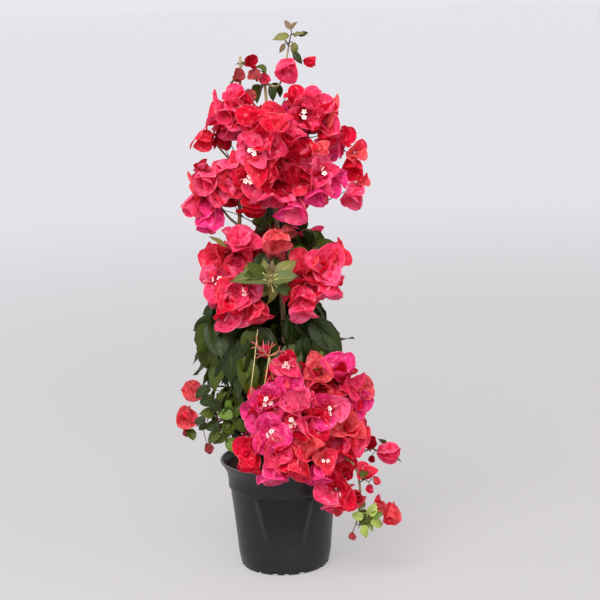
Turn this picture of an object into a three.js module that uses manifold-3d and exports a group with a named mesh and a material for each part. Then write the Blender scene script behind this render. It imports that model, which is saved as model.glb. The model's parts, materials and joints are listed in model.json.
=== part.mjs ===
// A potted bougainvillea, trained upright as a slim column and in full bloom: nursery pot, soil,
// a short trunk, the stems that climb from its fork, the boughs they carry, and the masses of
// bracts and leaves. Millimetres, +Z up, origin at the middle of the pot's flat underside,
// the side that the plant shows to the viewer facing -Y.

import * as THREE from "three";
import { SimplexNoise } from "three/addons/math/SimplexNoise.js";
import { mergeVertices } from "three/addons/utils/BufferGeometryUtils.js";
import Module from "manifold-3d";

const wasm = await Module();
wasm.setup();

// ---- driving dimensions ----

const limbGap = 0.35; // clearance that pieces keep around a limb
const massGap = 0.5; // clearance that masses keep around each other, less where they are dented

const pot = {
  height: 150,
  rimRadius: 85,
  rimBand: 4, // height of the upright edge round the rim
  lipHeight: 37, // from the rim down to the step under the flared lip
  lipFootRadius: 74.5,
  lipCurve: 3.2, // the power by which the lip flares towards the rim
  lipSteps: [0.5, 0.85, 1], // where the lip's curve has its points, as shares of its rise
  stepWidth: 3,
  bellyHeight: 32, // where the wall starts to round in towards the foot
  bellyRadius: 64.2,
  footRadius: 55.5,
  cornerRadius: 5,
  wall: 2,
  floor: 3,
  sides: 28,
  drains: 8,
  drainWidth: 8,
  drainHeight: 5,
};

const soil = {
  level: 138, // round the trunk
  edgeDrop: 4, // how much lower the soil lies at the wall
  crownRadius: 24, // the level part round the trunk
};

const trunk = {
  at: [-8, 4],
  lean: [-3, -2], // how far the fork lies from above the foot
  height: 46,
  flareRadius: 14,
  waistRadius: 8.5,
  forkRadius: 10,
};

const forkLevel = soil.level + trunk.height;
const forkSpread = 1.15; // how far the stems have drawn apart a little above the fork
const forkRise = 14; // how far above the fork that is

// Stems climb from the fork: a foot beside the trunk's middle, the points they pass, two radii.
const stems = {
  stem_right: {
    foot: [-5, 0],
    through: [[8, -4, 250], [7, 0, 326], [1, 0, 478], [-10, 0, 672]],
    radii: [4.6, 1.7],
  },
  stem_left: {
    foot: [-16, -2],
    through: [[-52, -8, 255], [-52, 0, 380], [-46, 0, 520], [-40, 0, 690]],
    radii: [4.2, 1.5],
  },
  stem_back: {
    foot: [-11, 8.5],
    through: [[-4, 34, 260], [-6, 32, 400], [-8, 30, 520], [-2, 20, 622]],
    radii: [3.8, 1.5],
  },
};

// Boughs leave a stem at their first point and end inside the mass that they carry.
const boughs = {
  leader: {
    through: [[-10, 0, 655], [8, -6, 652], [17, -8, 672], [24, -2, 705]],
    radii: [1.6, 0.9],
  },
  bough_left_high: {
    through: [[-45, 0, 545], [-62, -4, 562], [-78, -10, 582]],
    radii: [1.8, 1.0],
  },
  bough_left: {
    through: [[-48, 0, 468], [-62, -8, 482], [-76, -22, 505]],
    radii: [2.0, 1.1],
  },
  bough_right_high: {
    through: [[-3, 0, 560], [28, -8, 584], [62, -6, 590], [92, 0, 572]],
    radii: [2.1, 1.1],
  },
  bough_mid_right: {
    through: [[5, 0, 376], [28, -10, 390], [48, -22, 402]],
    radii: [2.2, 1.4],
  },
  twig_left_high: {
    through: [[-55, -8, 248], [-82, -6, 252], [-110, 0, 247]],
    radii: [1.6, 0.9],
  },
  twig_left_low: {
    through: [[-48, -8, 222], [-84, -14, 205], [-104, -10, 196], [-120, -8, 202]],
    radii: [1.6, 0.9],
  },
  twig_right: {
    through: [[72, -56, 176], [98, -36, 160], [118, -24, 164], [130, -20, 160]],
    radii: [1.6, 0.9],
  },
  spray_stalk: {
    through: [[72, -64, 172], [96, -84, 158], [102, -86, 122], [98, -84, 88], [90, -85, 66]],
    radii: [1.9, 0.9],
  },
};

// Masses: the middle, the half sizes along X, Y and Z, and, where it matters, how far the mass
// leans to +X in degrees and how much its lower end is drawn in to a hanging tip.
const masses = {
  // the upper crown
  bloom_centre: { at: [-8, -42, 561], half: [42, 42, 66], lean: 6 },
  bloom_crown_right: { at: [57, -20, 620], half: [38, 34, 36] },
  bloom_left: { at: [-80, -30, 516], half: [39, 34, 42], lean: 25 },
  bloom_right: { at: [57, -45, 540], half: [32, 30, 42], lean: -8 },
  bloom_upper_left: { at: [-62, -18, 620], half: [25, 28, 35], lean: 8 },
  bloom_left_tip: { at: [-84, -10, 584], half: [24, 20, 17] },
  bloom_right_tip: { at: [103, 0, 558], half: [29, 26, 31], lean: -20 },
  bloom_right_drop: { at: [100, -14, 513], half: [20, 16, 22] },
  bloom_hanging: { at: [31, -50, 494], half: [18, 15, 23], droop: 0.3 },
  bloom_tip_left: { at: [-28, 0, 666], half: [27, 20, 23] },
  bloom_top: { at: [31, -12, 675], half: [26, 15, 20] },
  shoot_tip: { at: [27, 0, 708], half: [18, 13, 27], lean: 12 },
  bloom_back_high: { at: [8, 45, 602], half: [46, 36, 42] },
  bloom_back_low: { at: [-10, 52, 530], half: [44, 36, 44] },
  // the waist and the middle crown
  bloom_mid_centre: { at: [2, -48, 456], half: [19, 18, 23] },
  bloom_mid_left: { at: [-58, -32, 440], half: [39, 34, 34], lean: 15 },
  bloom_mid_left_low: { at: [-48, -46, 380], half: [40, 32, 38], lean: -20 },
  bloom_mid_right: { at: [65, -36, 411], half: [35, 34, 35], lean: 15 },
  bloom_mid_right_low: { at: [33, -54, 376], half: [18, 17, 25], droop: 0.3 },
  leaf_mid_centre: { at: [-9, -58, 410], half: [38, 24, 31] },
  leaf_mid_right: { at: [47, 2, 447], half: [28, 30, 20] },
  bloom_mid_back: { at: [-2, 48, 412], half: [60, 42, 48] },
  // the dark leaves below it
  leaf_left: { at: [-80, -4, 310], half: [37, 36, 57], lean: 6, droop: 0.35 },
  leaf_right: { at: [55, -10, 312], half: [41, 36, 47], lean: -6, droop: 0.25 },
  leaf_centre: { at: [-34, -40, 292], half: [29, 24, 46], droop: 0.35 },
  bloom_low_centre: { at: [9, -58, 293], half: [18, 15, 18] },
  leaf_back_left: { at: [-42, 50, 302], half: [46, 38, 56], droop: 0.3 },
  leaf_back_right: { at: [40, 50, 306], half: [46, 38, 54], droop: 0.3 },
  // the lower cluster over the rim
  bloom_foot_upper: { at: [-11, -66, 241], half: [34, 28, 34] },
  bloom_foot_centre: { at: [37, -76, 226], half: [30, 28, 33] },
  bloom_foot_right_upper: { at: [66, -44, 265], half: [38, 32, 29] },
  bloom_foot_right: { at: [98, -30, 232], half: [27, 28, 31] },
  bloom_foot_right_low: { at: [84, -58, 193], half: [31, 30, 33] },
  bloom_foot_front: { at: [39, -98, 172], half: [25, 20, 33], droop: 0.15 },
  bloom_foot_front_left: { at: [-16, -90, 180], half: [33, 24, 40], droop: 0.15 },
  leaf_foot_left: { at: [-70, -20, 218], half: [33, 34, 48], droop: 0.2 },
  bloom_foot_back: { at: [18, 44, 218], half: [66, 44, 50] },
  // the loose ends
  bloom_twig_left_high: { at: [-118, 0, 246], half: [17, 12, 15] },
  bloom_twig_left_low: { at: [-127, -8, 205], half: [16, 12, 21] },
  bloom_twig_right: { at: [137, -20, 159], half: [25, 14, 17] },
  bloom_spray: { at: [78, -89, 127], half: [27, 12, 29] },
  bloom_spray_side: { at: [111, -80, 142], half: [16, 9, 16] },
  leaf_spray: { at: [109, -80, 85], half: [20, 10, 23], droop: 0.2 },
  bloom_spray_tip: { at: [139, -72, 94], half: [16, 9, 16] },
};

// Facets: sides round a limb, rings along it (for a bough, between two of its points).
const facets = { trunk: [10, 6], stem: [7, 10], bough: [5, 2] };

const smallMass = 38; // masses whose mean half size is below this get fewer faces

// How uneven the masses are: how far broad and fine lumps stand out, as a share of the radius,
// and how close together they lie.
const lumps = { broad: 0.16, broadPace: 1.3, fine: 0.1, finePace: 2.9 };

// ---- finishes ----

const finishes = {
  pot: { color: 0x2b2b2e, roughness: 0.45, metalness: 0 },
  soil: { color: 0x3a2a1f, roughness: 0.95, metalness: 0 },
  bark: { color: 0x8b7355, roughness: 0.85, metalness: 0 },
  bloom: { color: 0xd81f45, roughness: 0.8, metalness: 0 },
  leaf: { color: 0x3f5230, roughness: 0.6, metalness: 0 },
  shoot: { color: 0x7d8248, roughness: 0.7, metalness: 0 },
};

// ---- solids ----

const bare = (geometry) => {
  geometry.deleteAttribute("normal");
  geometry.deleteAttribute("uv");
  return mergeVertices(geometry, 1e-4);
};

const toSolid = (geometry) => {
  const vertProperties = new Float32Array(geometry.attributes.position.array);
  const triVerts = new Uint32Array(geometry.index.array);
  return new wasm.Manifold(new wasm.Mesh({ numProp: 3, vertProperties, triVerts }));
};

const toGeometry = (solid) => {
  const { vertProperties, triVerts } = solid.getMesh();
  const geometry = new THREE.BufferGeometry();
  geometry.setAttribute("position", new THREE.BufferAttribute(new Float32Array(vertProperties), 3));
  geometry.setIndex(new THREE.BufferAttribute(new Uint32Array(triVerts), 1));
  geometry.computeVertexNormals();
  return geometry;
};

const largestBody = (solid) => {
  const bodies = solid.decompose();
  return bodies.reduce((best, body) => (body.volume() > best.volume() ? body : best));
};

const boxOf = (solid) => {
  const { min, max } = solid.boundingBox();
  return new THREE.Box3(new THREE.Vector3(...min), new THREE.Vector3(...max));
};

const taken = []; // what is already in place, each grown by its clearance

const cutFree = (solid) => {
  const box = boxOf(solid);
  const inTheWay = taken.filter((other) => other.box.intersectsBox(box));
  return largestBody(inTheWay.reduce((left, other) => left.subtract(other.solid), solid));
};

const occupy = (solid) => taken.push({ solid, box: boxOf(solid) });

const plant = new THREE.Group();

const add = (name, solid, finish, group) => {
  const mesh = new THREE.Mesh(toGeometry(solid), new THREE.MeshStandardMaterial(finishes[finish]));
  mesh.name = name;
  group.add(mesh);
};

// ---- pot and soil ----

const lathe = (points) => {
  const profile = points.map(([radius, z]) => new THREE.Vector2(radius, z));
  return toSolid(bare(new THREE.LatheGeometry(profile, pot.sides).rotateX(Math.PI / 2)));
};

// The outside of the wall from the foot up to the rim's edge, moved inwards by an inset.
function wallLine(inset) {
  const stepLevel = pot.height - pot.lipHeight;
  const corner = pot.cornerRadius;
  const lipRise = pot.lipHeight - pot.rimBand;
  const lipFlare = pot.rimRadius - pot.lipFootRadius;
  const line = [
    [pot.footRadius + corner * 0.6, corner * 0.4],
    [pot.footRadius + corner, corner * 1.4],
    [pot.bellyRadius, pot.bellyHeight],
    [pot.lipFootRadius - pot.stepWidth, stepLevel - pot.stepWidth],
    [pot.lipFootRadius, stepLevel],
  ];
  for (const t of pot.lipSteps) {
    line.push([pot.lipFootRadius + lipFlare * t ** pot.lipCurve, stepLevel + lipRise * t]);
  }
  return line.map(([radius, z]) => [radius - inset, z]);
}

const innerLine = wallLine(pot.wall).filter(([, z]) => z > pot.floor + 1);

function makePot() {
  const outside = [[0, 0], [pot.footRadius, 0], ...wallLine(0), [pot.rimRadius, pot.height]];
  const innerFoot = pot.footRadius;
  const inside = [[pot.rimRadius - pot.wall, pot.height], ...innerLine.toReversed()];
  let solid = lathe([...outside, ...inside, [innerFoot, pot.floor], [0, pot.floor]]);
  for (let i = 0; i < pot.drains; i++) {
    const notch = new THREE.BoxGeometry(pot.cornerRadius * 4, pot.drainWidth, pot.drainHeight * 2);
    notch.translate(pot.footRadius + pot.cornerRadius * 1.2, 0, 0);
    notch.rotateZ(((i + 0.5) / pot.drains) * Math.PI * 2);
    solid = solid.subtract(toSolid(bare(notch)));
  }
  return solid;
}

// The pot's whole outer shape, filled and grown, which the masses over the rim keep clear of.
function makePotSpace(grow) {
  const rim = [pot.rimRadius + grow, pot.height + grow];
  return lathe([[0, 0], [pot.footRadius, 0], ...wallLine(-grow), rim, [0, pot.height + grow]]);
}

function innerRadiusAt(level) {
  const above = innerLine.findIndex(([, z]) => z > level);
  const [radius, z] = innerLine[above];
  const [radiusBelow, zBelow] = innerLine[above - 1];
  return THREE.MathUtils.mapLinear(level, zBelow, z, radiusBelow, radius);
}

function makeSoil() {
  const edgeLevel = soil.level - soil.edgeDrop;
  const below = innerLine.filter(([, z]) => z < edgeLevel);
  const wall = [...below, [innerRadiusAt(edgeLevel), edgeLevel]].map(([radius, z]) => [radius - limbGap, z]);
  const foot = [[0, pot.floor + limbGap], [pot.footRadius - limbGap, pot.floor + limbGap]];
  return lathe([...foot, ...wall, [soil.crownRadius, soil.level], [0, soil.level]]);
}

// ---- limbs ----

// A round, closed, tapering limb along a smooth curve; grow adds a clearance all round it.
function limb(points, radiusAt, sides, segments, grow = 0) {
  const curve = new THREE.CatmullRomCurve3(points.map((point) => new THREE.Vector3(...point)));
  const frames = curve.computeFrenetFrames(segments, false);
  const geometry = bare(new THREE.CylinderGeometry(1, 1, 1, sides, segments));
  const position = geometry.attributes.position;
  for (let i = 0; i < position.count; i++) {
    const ring = Math.round((position.getY(i) + 0.5) * segments);
    const t = ring / segments;
    const radius = radiusAt(t) + grow;
    const past = ring === 0 ? -grow : ring === segments ? grow : 0;
    const place = curve
      .getPointAt(t)
      .addScaledVector(frames.binormals[ring], position.getX(i) * radius)
      .addScaledVector(frames.normals[ring], position.getZ(i) * radius)
      .addScaledVector(frames.tangents[ring], past);
    position.setXYZ(i, place.x, place.y, place.z);
  }
  return toSolid(geometry);
}

// Removes what lies below a level, which leaves a flat foot there.
function cutFlat(solid, level) {
  const side = 400;
  const below = new THREE.BoxGeometry(side, side, side).translate(0, 0, level - side / 2);
  return solid.subtract(toSolid(bare(below)));
}

const tapered = ([start, end]) => (t) => THREE.MathUtils.lerp(start, end, t);

function makeTrunk(grow) {
  const [x, y] = trunk.at;
  const foot = soil.level + limbGap;
  const points = [0, 0.5, 1].map((t) => {
    const level = t < 1 ? foot + trunk.height * t : forkLevel;
    return [x + trunk.lean[0] * t, y + trunk.lean[1] * t, level];
  });
  const flare = trunk.flareRadius - trunk.waistRadius;
  const swelling = trunk.forkRadius - trunk.waistRadius;
  const radiusAt = (t) => trunk.waistRadius + flare * (1 - t) ** 5 + swelling * t ** 3;
  return cutFlat(limb(points, radiusAt, ...facets.trunk, grow), foot - grow);
}

// ---- masses ----

// A repeatable run of random numbers between 0 and 1.
function seeded(seed) {
  const modulus = 2147483647;
  const multiplier = 16807;
  let state = seed;
  return () => {
    state = (state * multiplier) % modulus;
    return state / modulus;
  };
}

const noise = new SimplexNoise({ random: seeded(7) });

const noiseAt = (point, pace, seed) => {
  const apart = 5; // keeps the masses' stretches of noise clear of each other
  return noise.noise3d(point.x * pace + seed * apart, point.y * pace, point.z * pace);
};

// An uneven closed lump that fills its half sizes; each seed gives a shape of its own.
function lump({ half, at, lean = 0, droop = 0 }, seed, grow = 0) {
  const mean = (half[0] + half[1] + half[2]) / 3;
  const geometry = bare(new THREE.IcosahedronGeometry(1, mean < smallMass ? 1 : 2));
  const position = geometry.attributes.position;
  const point = new THREE.Vector3();
  for (let i = 0; i < position.count; i++) {
    point.fromBufferAttribute(position, i).normalize();
    const broad = noiseAt(point, lumps.broadPace, seed);
    const fine = noiseAt(point, lumps.finePace, -seed);
    point.multiplyScalar(1 + lumps.broad * broad + lumps.fine * fine);
    const drawnIn = 1 + droop * Math.min(point.z, 0);
    position.setXYZ(i, point.x * drawnIn, point.y * drawnIn, point.z);
  }
  geometry.rotateY(THREE.MathUtils.degToRad(lean));
  geometry.computeBoundingBox();
  const size = geometry.boundingBox.getSize(new THREE.Vector3());
  const middle = geometry.boundingBox.getCenter(new THREE.Vector3());
  geometry.translate(-middle.x, -middle.y, -middle.z);
  const [sx, sy, sz] = half.map((length, axis) => (2 * (length + grow)) / size.getComponent(axis));
  return toSolid(geometry.scale(sx, sy, sz).translate(...at));
}

// ---- assembly ----

const container = new THREE.Group();
const framework = new THREE.Group();
const foliage = new THREE.Group();
plant.add(container, framework, foliage);

add("pot", makePot(), "pot", container);
add("soil", makeSoil(), "soil", container);

add("trunk", makeTrunk(0), "bark", framework);
occupy(makeTrunk(limbGap));

for (const [name, { foot, through, radii }] of Object.entries(stems)) {
  const below = [...foot, forkLevel - trunk.forkRadius / 2];
  const above = [foot[0] * forkSpread, foot[1] * forkSpread, forkLevel + forkRise];
  const points = [below, above, ...through];
  const shape = (grow) => limb(points, tapered(radii), ...facets.stem, grow);
  add(name, cutFree(cutFlat(shape(0), forkLevel + limbGap)), "bark", framework);
  occupy(shape(limbGap));
}

for (const [name, { through, radii }] of Object.entries(boughs)) {
  const [sides, rings] = facets.bough;
  const shape = (grow) => limb(through, tapered(radii), sides, rings * (through.length - 1), grow);
  add(name, cutFree(shape(0)), "bark", framework);
  occupy(shape(limbGap));
}

occupy(makePotSpace(massGap));

Object.entries(masses).forEach(([name, mass], index) => {
  const kind = name.split("_")[0];
  add(name, cutFree(lump(mass, index + 1)), kind, foliage);
  occupy(lump(mass, index + 1, massGap));
});

export default plant;
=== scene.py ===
import json
import math

import bpy
import numpy as np
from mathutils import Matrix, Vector, noise

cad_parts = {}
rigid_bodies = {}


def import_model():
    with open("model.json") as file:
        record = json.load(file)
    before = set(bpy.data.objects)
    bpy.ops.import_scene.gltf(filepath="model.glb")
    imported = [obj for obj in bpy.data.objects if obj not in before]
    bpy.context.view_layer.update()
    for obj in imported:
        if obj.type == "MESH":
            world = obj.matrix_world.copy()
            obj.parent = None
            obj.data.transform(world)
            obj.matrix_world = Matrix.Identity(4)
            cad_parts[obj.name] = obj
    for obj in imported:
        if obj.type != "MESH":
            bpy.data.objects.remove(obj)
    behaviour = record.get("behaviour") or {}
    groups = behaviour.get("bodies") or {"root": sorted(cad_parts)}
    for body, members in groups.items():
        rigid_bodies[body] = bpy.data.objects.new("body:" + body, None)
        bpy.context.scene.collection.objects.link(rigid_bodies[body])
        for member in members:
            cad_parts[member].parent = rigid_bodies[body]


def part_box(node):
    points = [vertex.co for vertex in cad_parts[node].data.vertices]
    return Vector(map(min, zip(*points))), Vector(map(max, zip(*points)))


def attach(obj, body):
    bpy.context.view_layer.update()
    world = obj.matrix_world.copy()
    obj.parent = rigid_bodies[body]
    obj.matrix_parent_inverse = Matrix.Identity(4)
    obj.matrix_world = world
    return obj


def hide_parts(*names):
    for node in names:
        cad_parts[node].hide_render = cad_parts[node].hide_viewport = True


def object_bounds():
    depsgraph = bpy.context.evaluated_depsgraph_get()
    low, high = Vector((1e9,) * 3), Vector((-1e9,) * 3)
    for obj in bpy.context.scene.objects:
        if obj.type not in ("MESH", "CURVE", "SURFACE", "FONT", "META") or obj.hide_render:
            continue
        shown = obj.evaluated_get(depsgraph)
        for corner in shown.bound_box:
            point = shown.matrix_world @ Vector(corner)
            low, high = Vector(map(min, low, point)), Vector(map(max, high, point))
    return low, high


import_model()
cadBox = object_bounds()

mm = 0.001  # the lengths below are in millimetres, and turn to metres as a mesh is built
bpy.ops.object.select_all(action="DESELECT")


# what every piece is made with

def boxOf(node):
    low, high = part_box(node)
    low, high = np.array(low) / mm, np.array(high) / mm
    return (low + high) / 2, (high - low) / 2


blunt = {"reach": 0.6, "width": 0.25}  # a limb's tip, as shares of its radius
mapMargin = 0.02  # the UV map keeps clear of the edge of its square
mapSpan = 0.96
tileSpan = 0.46  # four forms of a blade share the square, a quarter each


def around(sides):
    # the angles of a ring's corners
    return np.arange(sides) / sides * 2 * math.pi


def unit(vector):
    vector = np.asarray(vector, float)
    length = np.linalg.norm(vector, axis=-1, keepdims=True)
    return vector / np.maximum(length, 1e-9)


def axesAlong(along, facing):
    # a turn whose Y runs along and whose Z looks the way of facing as nearly as it can
    y = unit(along)
    x = unit(np.cross(y, facing))
    return np.stack([x, y, np.cross(x, y)], axis=-1)


def smoothRoute(points, steps):
    # a smooth line through the points, steps to each stretch
    points = np.asarray(points, float)
    ends = 2 * points[[0, -1]] - points[[1, -2]]
    p = np.vstack([ends[:1], points, ends[1:]])
    line = []
    for a, b, c, d in zip(p, p[1:], p[2:], p[3:]):
        for t in np.arange(steps) / steps:
            line.append(0.5 * (2 * b + (c - a) * t + (2 * a - 5 * b + 4 * c - d) * t**2
                               + (3 * b - a - 3 * c + d) * t**3))
    return np.array(line + [points[-1]])


class Shape:
    # corners, faces of four corners, and each corner's place on the UV map
    def __init__(self, corners, faces, uv):
        self.corners = np.asarray(corners, float)
        self.faces = np.asarray(faces, int)
        self.uv = np.asarray(uv, float)


def gridFaces(rows, columns, closed=False):
    across = columns if closed else columns - 1
    row, column = np.meshgrid(np.arange(rows - 1), np.arange(across), indexing="ij")
    row, column = row.ravel(), column.ravel()
    beside = (column + 1) % columns
    return np.stack([row * columns + column, row * columns + beside,
                     (row + 1) * columns + beside, (row + 1) * columns + column], axis=1)


class Heap:
    # one joined mesh in the making
    def __init__(self):
        self.corners, self.faces, self.uv, self.count = [], [], [], 0

    def add(self, shape):
        self.corners.append(shape.corners)
        self.faces.append(shape.faces + self.count)
        self.uv.append(shape.uv)
        self.count += len(shape.corners)

    def addCopies(self, shape, copies):
        # each copy is a turn, a place and a size
        turns, places, sizes = (np.asarray(values, float) for values in zip(*copies))
        sizes = sizes.reshape(-1, 1, 1)
        corners = np.einsum("nij,vj->nvi", turns * sizes, shape.corners) + places[:, None]
        steps = np.arange(len(places))[:, None, None] * len(shape.corners)
        self.corners.append(corners.reshape(-1, 3))
        self.faces.append((shape.faces[None] + steps).reshape(-1, 4) + self.count)
        self.uv.append(np.tile(shape.uv, (len(places), 1)))
        self.count += len(self.corners[-1])

    def build(self, name, material, slot, replaces=(), smooth=True):
        mesh = bpy.data.meshes.new(name)
        corners = np.vstack(self.corners) * mm
        faces = np.vstack(self.faces)
        mesh.vertices.add(len(corners))
        mesh.vertices.foreach_set("co", corners.astype(np.float32).ravel())
        mesh.loops.add(faces.size)
        mesh.loops.foreach_set("vertex_index", faces.astype(np.int32).ravel())
        mesh.polygons.add(len(faces))
        mesh.polygons.foreach_set("loop_start", np.arange(0, faces.size, 4, dtype=np.int32))
        mesh.update(calc_edges=True)
        layer = mesh.uv_layers.new(name="OFBake")
        layer.data.foreach_set("uv", np.vstack(self.uv)[faces.ravel()].astype(np.float32).ravel())
        mesh.polygons.foreach_set("use_smooth", np.full(len(faces), smooth))
        piece = bpy.data.objects.new(name, mesh)
        bpy.context.collection.objects.link(piece)
        return finished(piece, material, replaces)


def finished(piece, material, replaces):
    piece.data.materials.clear()
    piece.data.materials.append(material)
    piece.data.name = piece.name
    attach(piece, "root")
    if replaces:
        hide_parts(*replaces)
    return piece


def tube(line, radii, sides):
    # a round limb along the line, drawn in to a blunt tip at its far end
    line, radii = np.asarray(line, float), np.asarray(radii, float)
    ways = unit(np.gradient(line, axis=0))
    side = unit(np.cross(ways[0], (0.31, 0.93, 0.17)))  # square to the line, whichever way it runs
    rings = []
    turn = around(sides)
    for place, way, radius in zip(line, ways, radii):
        side = unit(side - way * np.dot(side, way))
        other = np.cross(way, side)
        rings.append(place + radius * (np.cos(turn)[:, None] * side + np.sin(turn)[:, None] * other))
    tip = line[-1] + ways[-1] * radii[-1] * blunt["reach"]
    rings.append(tip + (rings[-1] - line[-1]) * blunt["width"])
    corners = np.vstack(rings)
    rows = len(rings)
    u = np.tile(np.abs(np.linspace(-1, 1, sides, endpoint=False)), rows)
    v = np.repeat(np.linspace(0, 1, rows), sides)
    return Shape(corners, gridFaces(rows, sides, closed=True), mapMargin + np.stack([u, v], axis=1) * mapSpan)


def rod(route, steps, thick, thin, sides):
    # a limb through the points of its route, thinner towards its end
    line = smoothRoute(route, steps)
    return tube(line, np.linspace(thick, thin, len(line)), sides)


# shader maths

class Wire:
    # an output socket that Python's own operators work on
    def __init__(self, finish, socket):
        self.finish, self.socket = finish, socket

    def math(self, operation, *values):
        return self.finish.math(operation, *values)

    def __add__(self, other):
        return self.math("ADD", self, other)

    __radd__ = __add__

    def __mul__(self, other):
        return self.math("MULTIPLY", self, other)

    __rmul__ = __mul__

    def __sub__(self, other):
        return self.math("SUBTRACT", self, other)

    def __rsub__(self, other):
        return self.math("SUBTRACT", other, self)

    def __pow__(self, other):
        return self.math("POWER", self, other)

    def __abs__(self):
        return self.math("ABSOLUTE", self)

    def sine(self):
        return self.math("SINE", self)

    def fraction(self):
        return self.math("FRACT", self)

    def least(self, other):
        return self.math("MINIMUM", self, other)

    def ramp(self, low, high):
        # 0 below low, 1 above high, smooth between them
        settings = {"interpolation_type": "SMOOTHSTEP"}
        values = {"Value": self, "From Min": low, "From Max": high}
        return self.finish.node("ShaderNodeMapRange", settings, values)


def colour(text):
    # a colour written as in a paint chart, in the renderer's linear values
    parts = [int(text[i:i + 2], 16) / 255 for i in (0, 2, 4)]
    return tuple(p / 12.92 if p < 0.04045 else ((p + 0.055) / 1.055) ** 2.4 for p in parts) + (1,)


class Finish:
    # a material, with short ways to add its nodes
    def __init__(self, name):
        self.material = bpy.data.materials.new(name)
        self.material.use_nodes = True
        self.tree = self.material.node_tree
        self.shader = self.tree.nodes["Principled BSDF"]
        self.output = self.tree.nodes["Material Output"]

    def feed(self, socket, value):
        if isinstance(value, Wire):
            self.tree.links.new(value.socket, socket)
        else:
            socket.default_value = value

    def node(self, kind, settings=None, values=None, output=0):
        made = self.tree.nodes.new(kind)
        for key, value in (settings or {}).items():
            setattr(made, key, value)
        for key, value in (values or {}).items():
            self.feed(made.inputs[key], value)
        return Wire(self, made.outputs[output])

    def set(self, **values):
        for key, value in values.items():
            self.feed(self.shader.inputs[key.replace("_", " ")], value)

    def mix(self, first, second, share):
        settings = {"data_type": "RGBA"}
        return self.node("ShaderNodeMix", settings, {0: share, 6: first, 7: second}, output=2)

    def layered(self, tone, layers):
        # one colour over the other, each as far as its share says
        for upper, share in layers:
            tone = self.mix(tone, upper, share)
        return tone

    def noise(self, place, scale, detail=3, rough=0.55):
        values = {"Vector": place, "Scale": scale, "Detail": detail, "Roughness": rough}
        return self.node("ShaderNodeTexNoise", None, values)

    def stretched(self, place, x, y, z):
        settings = {"operation": "MULTIPLY"}
        return self.node("ShaderNodeVectorMath", settings, {0: place, 1: (x, y, z)})

    def objectPlace(self):
        return self.node("ShaderNodeTexCoord", output="Object")

    def mapPlace(self):
        return self.node("ShaderNodeUVMap", {"uv_map": "OFBake"})

    def math(self, operation, *values):
        return self.node("ShaderNodeMath", {"operation": operation}, dict(enumerate(values)))

    def parts(self, place):
        split = self.tree.nodes.new("ShaderNodeSeparateXYZ")
        self.feed(split.inputs[0], place)
        return [Wire(self, output) for output in split.outputs]

    def bump(self, height, distance, strength=1.0):
        values = {"Height": height, "Distance": distance, "Strength": strength}
        return self.node("ShaderNodeBump", None, values)

    def bladeMap(self):
        # the place on the map, how far it lies from the midrib, and how far along the blade
        place = self.mapPlace()
        u, v = self.parts(place)[:2]
        return place, abs((u * 2).fraction() * 2 - 1), (v * 2).fraction()

    def shineThrough(self, tone, share):
        # light that comes through a thin blade
        glow = self.node("ShaderNodeBsdfTranslucent", None, {"Color": tone})
        surface = Wire(self, self.shader.outputs["BSDF"])
        joined = self.node("ShaderNodeMixShader", None, {0: share, 1: surface, 2: glow})
        self.feed(self.output.inputs["Surface"], joined)


# camera, floor and light

view = {
    "place": (0.0295, -2.05, 0.75),
    "down": 10.6,  # degrees below level
    "roll": -1.5,
    "lens": 93.4,
    "sensor": 36,
}


def makeCamera():
    bpy.ops.object.camera_add(location=view["place"])
    camera = bpy.context.object
    camera.data.lens = view["lens"]
    camera.data.sensor_width = view["sensor"]
    camera.rotation_euler = (math.radians(90 - view["down"]), 0, 0)
    camera.rotation_euler.rotate_axis("Z", math.radians(view["roll"]))
    bpy.context.scene.camera = camera


studio = {
    "floorSize": 3000,
    "floorTones": ("7b797a", "858487"),  # the painted shadow's tone, near the pot, and the floor's own tone far from it
    "floorGlow": 0.36,  # the floor is a lit table, so that shadows on it stay faint
    "shadowMiddle": (0.45, 0.9),  # the middle of the painted shadow, where the ground is darkest
    "shadowReach": (0.4, 3.4),  # where the painted shadow begins to fade and where it has faded
    "sky": ("ececf0", 0.96),
    "suns": [  # strength, softness in degrees, height and bearing from the viewer's side
        (1.95, 45, 41, -25),
        (0.9, 80, 28, 35),
    ],
    "lampPower": 5.6,  # a soft lamp over the crown
    "lampSize": 0.6,
    "lampPlace": (-0.1, -0.75, 1.15),
    "lampDown": 40,
}


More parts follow.
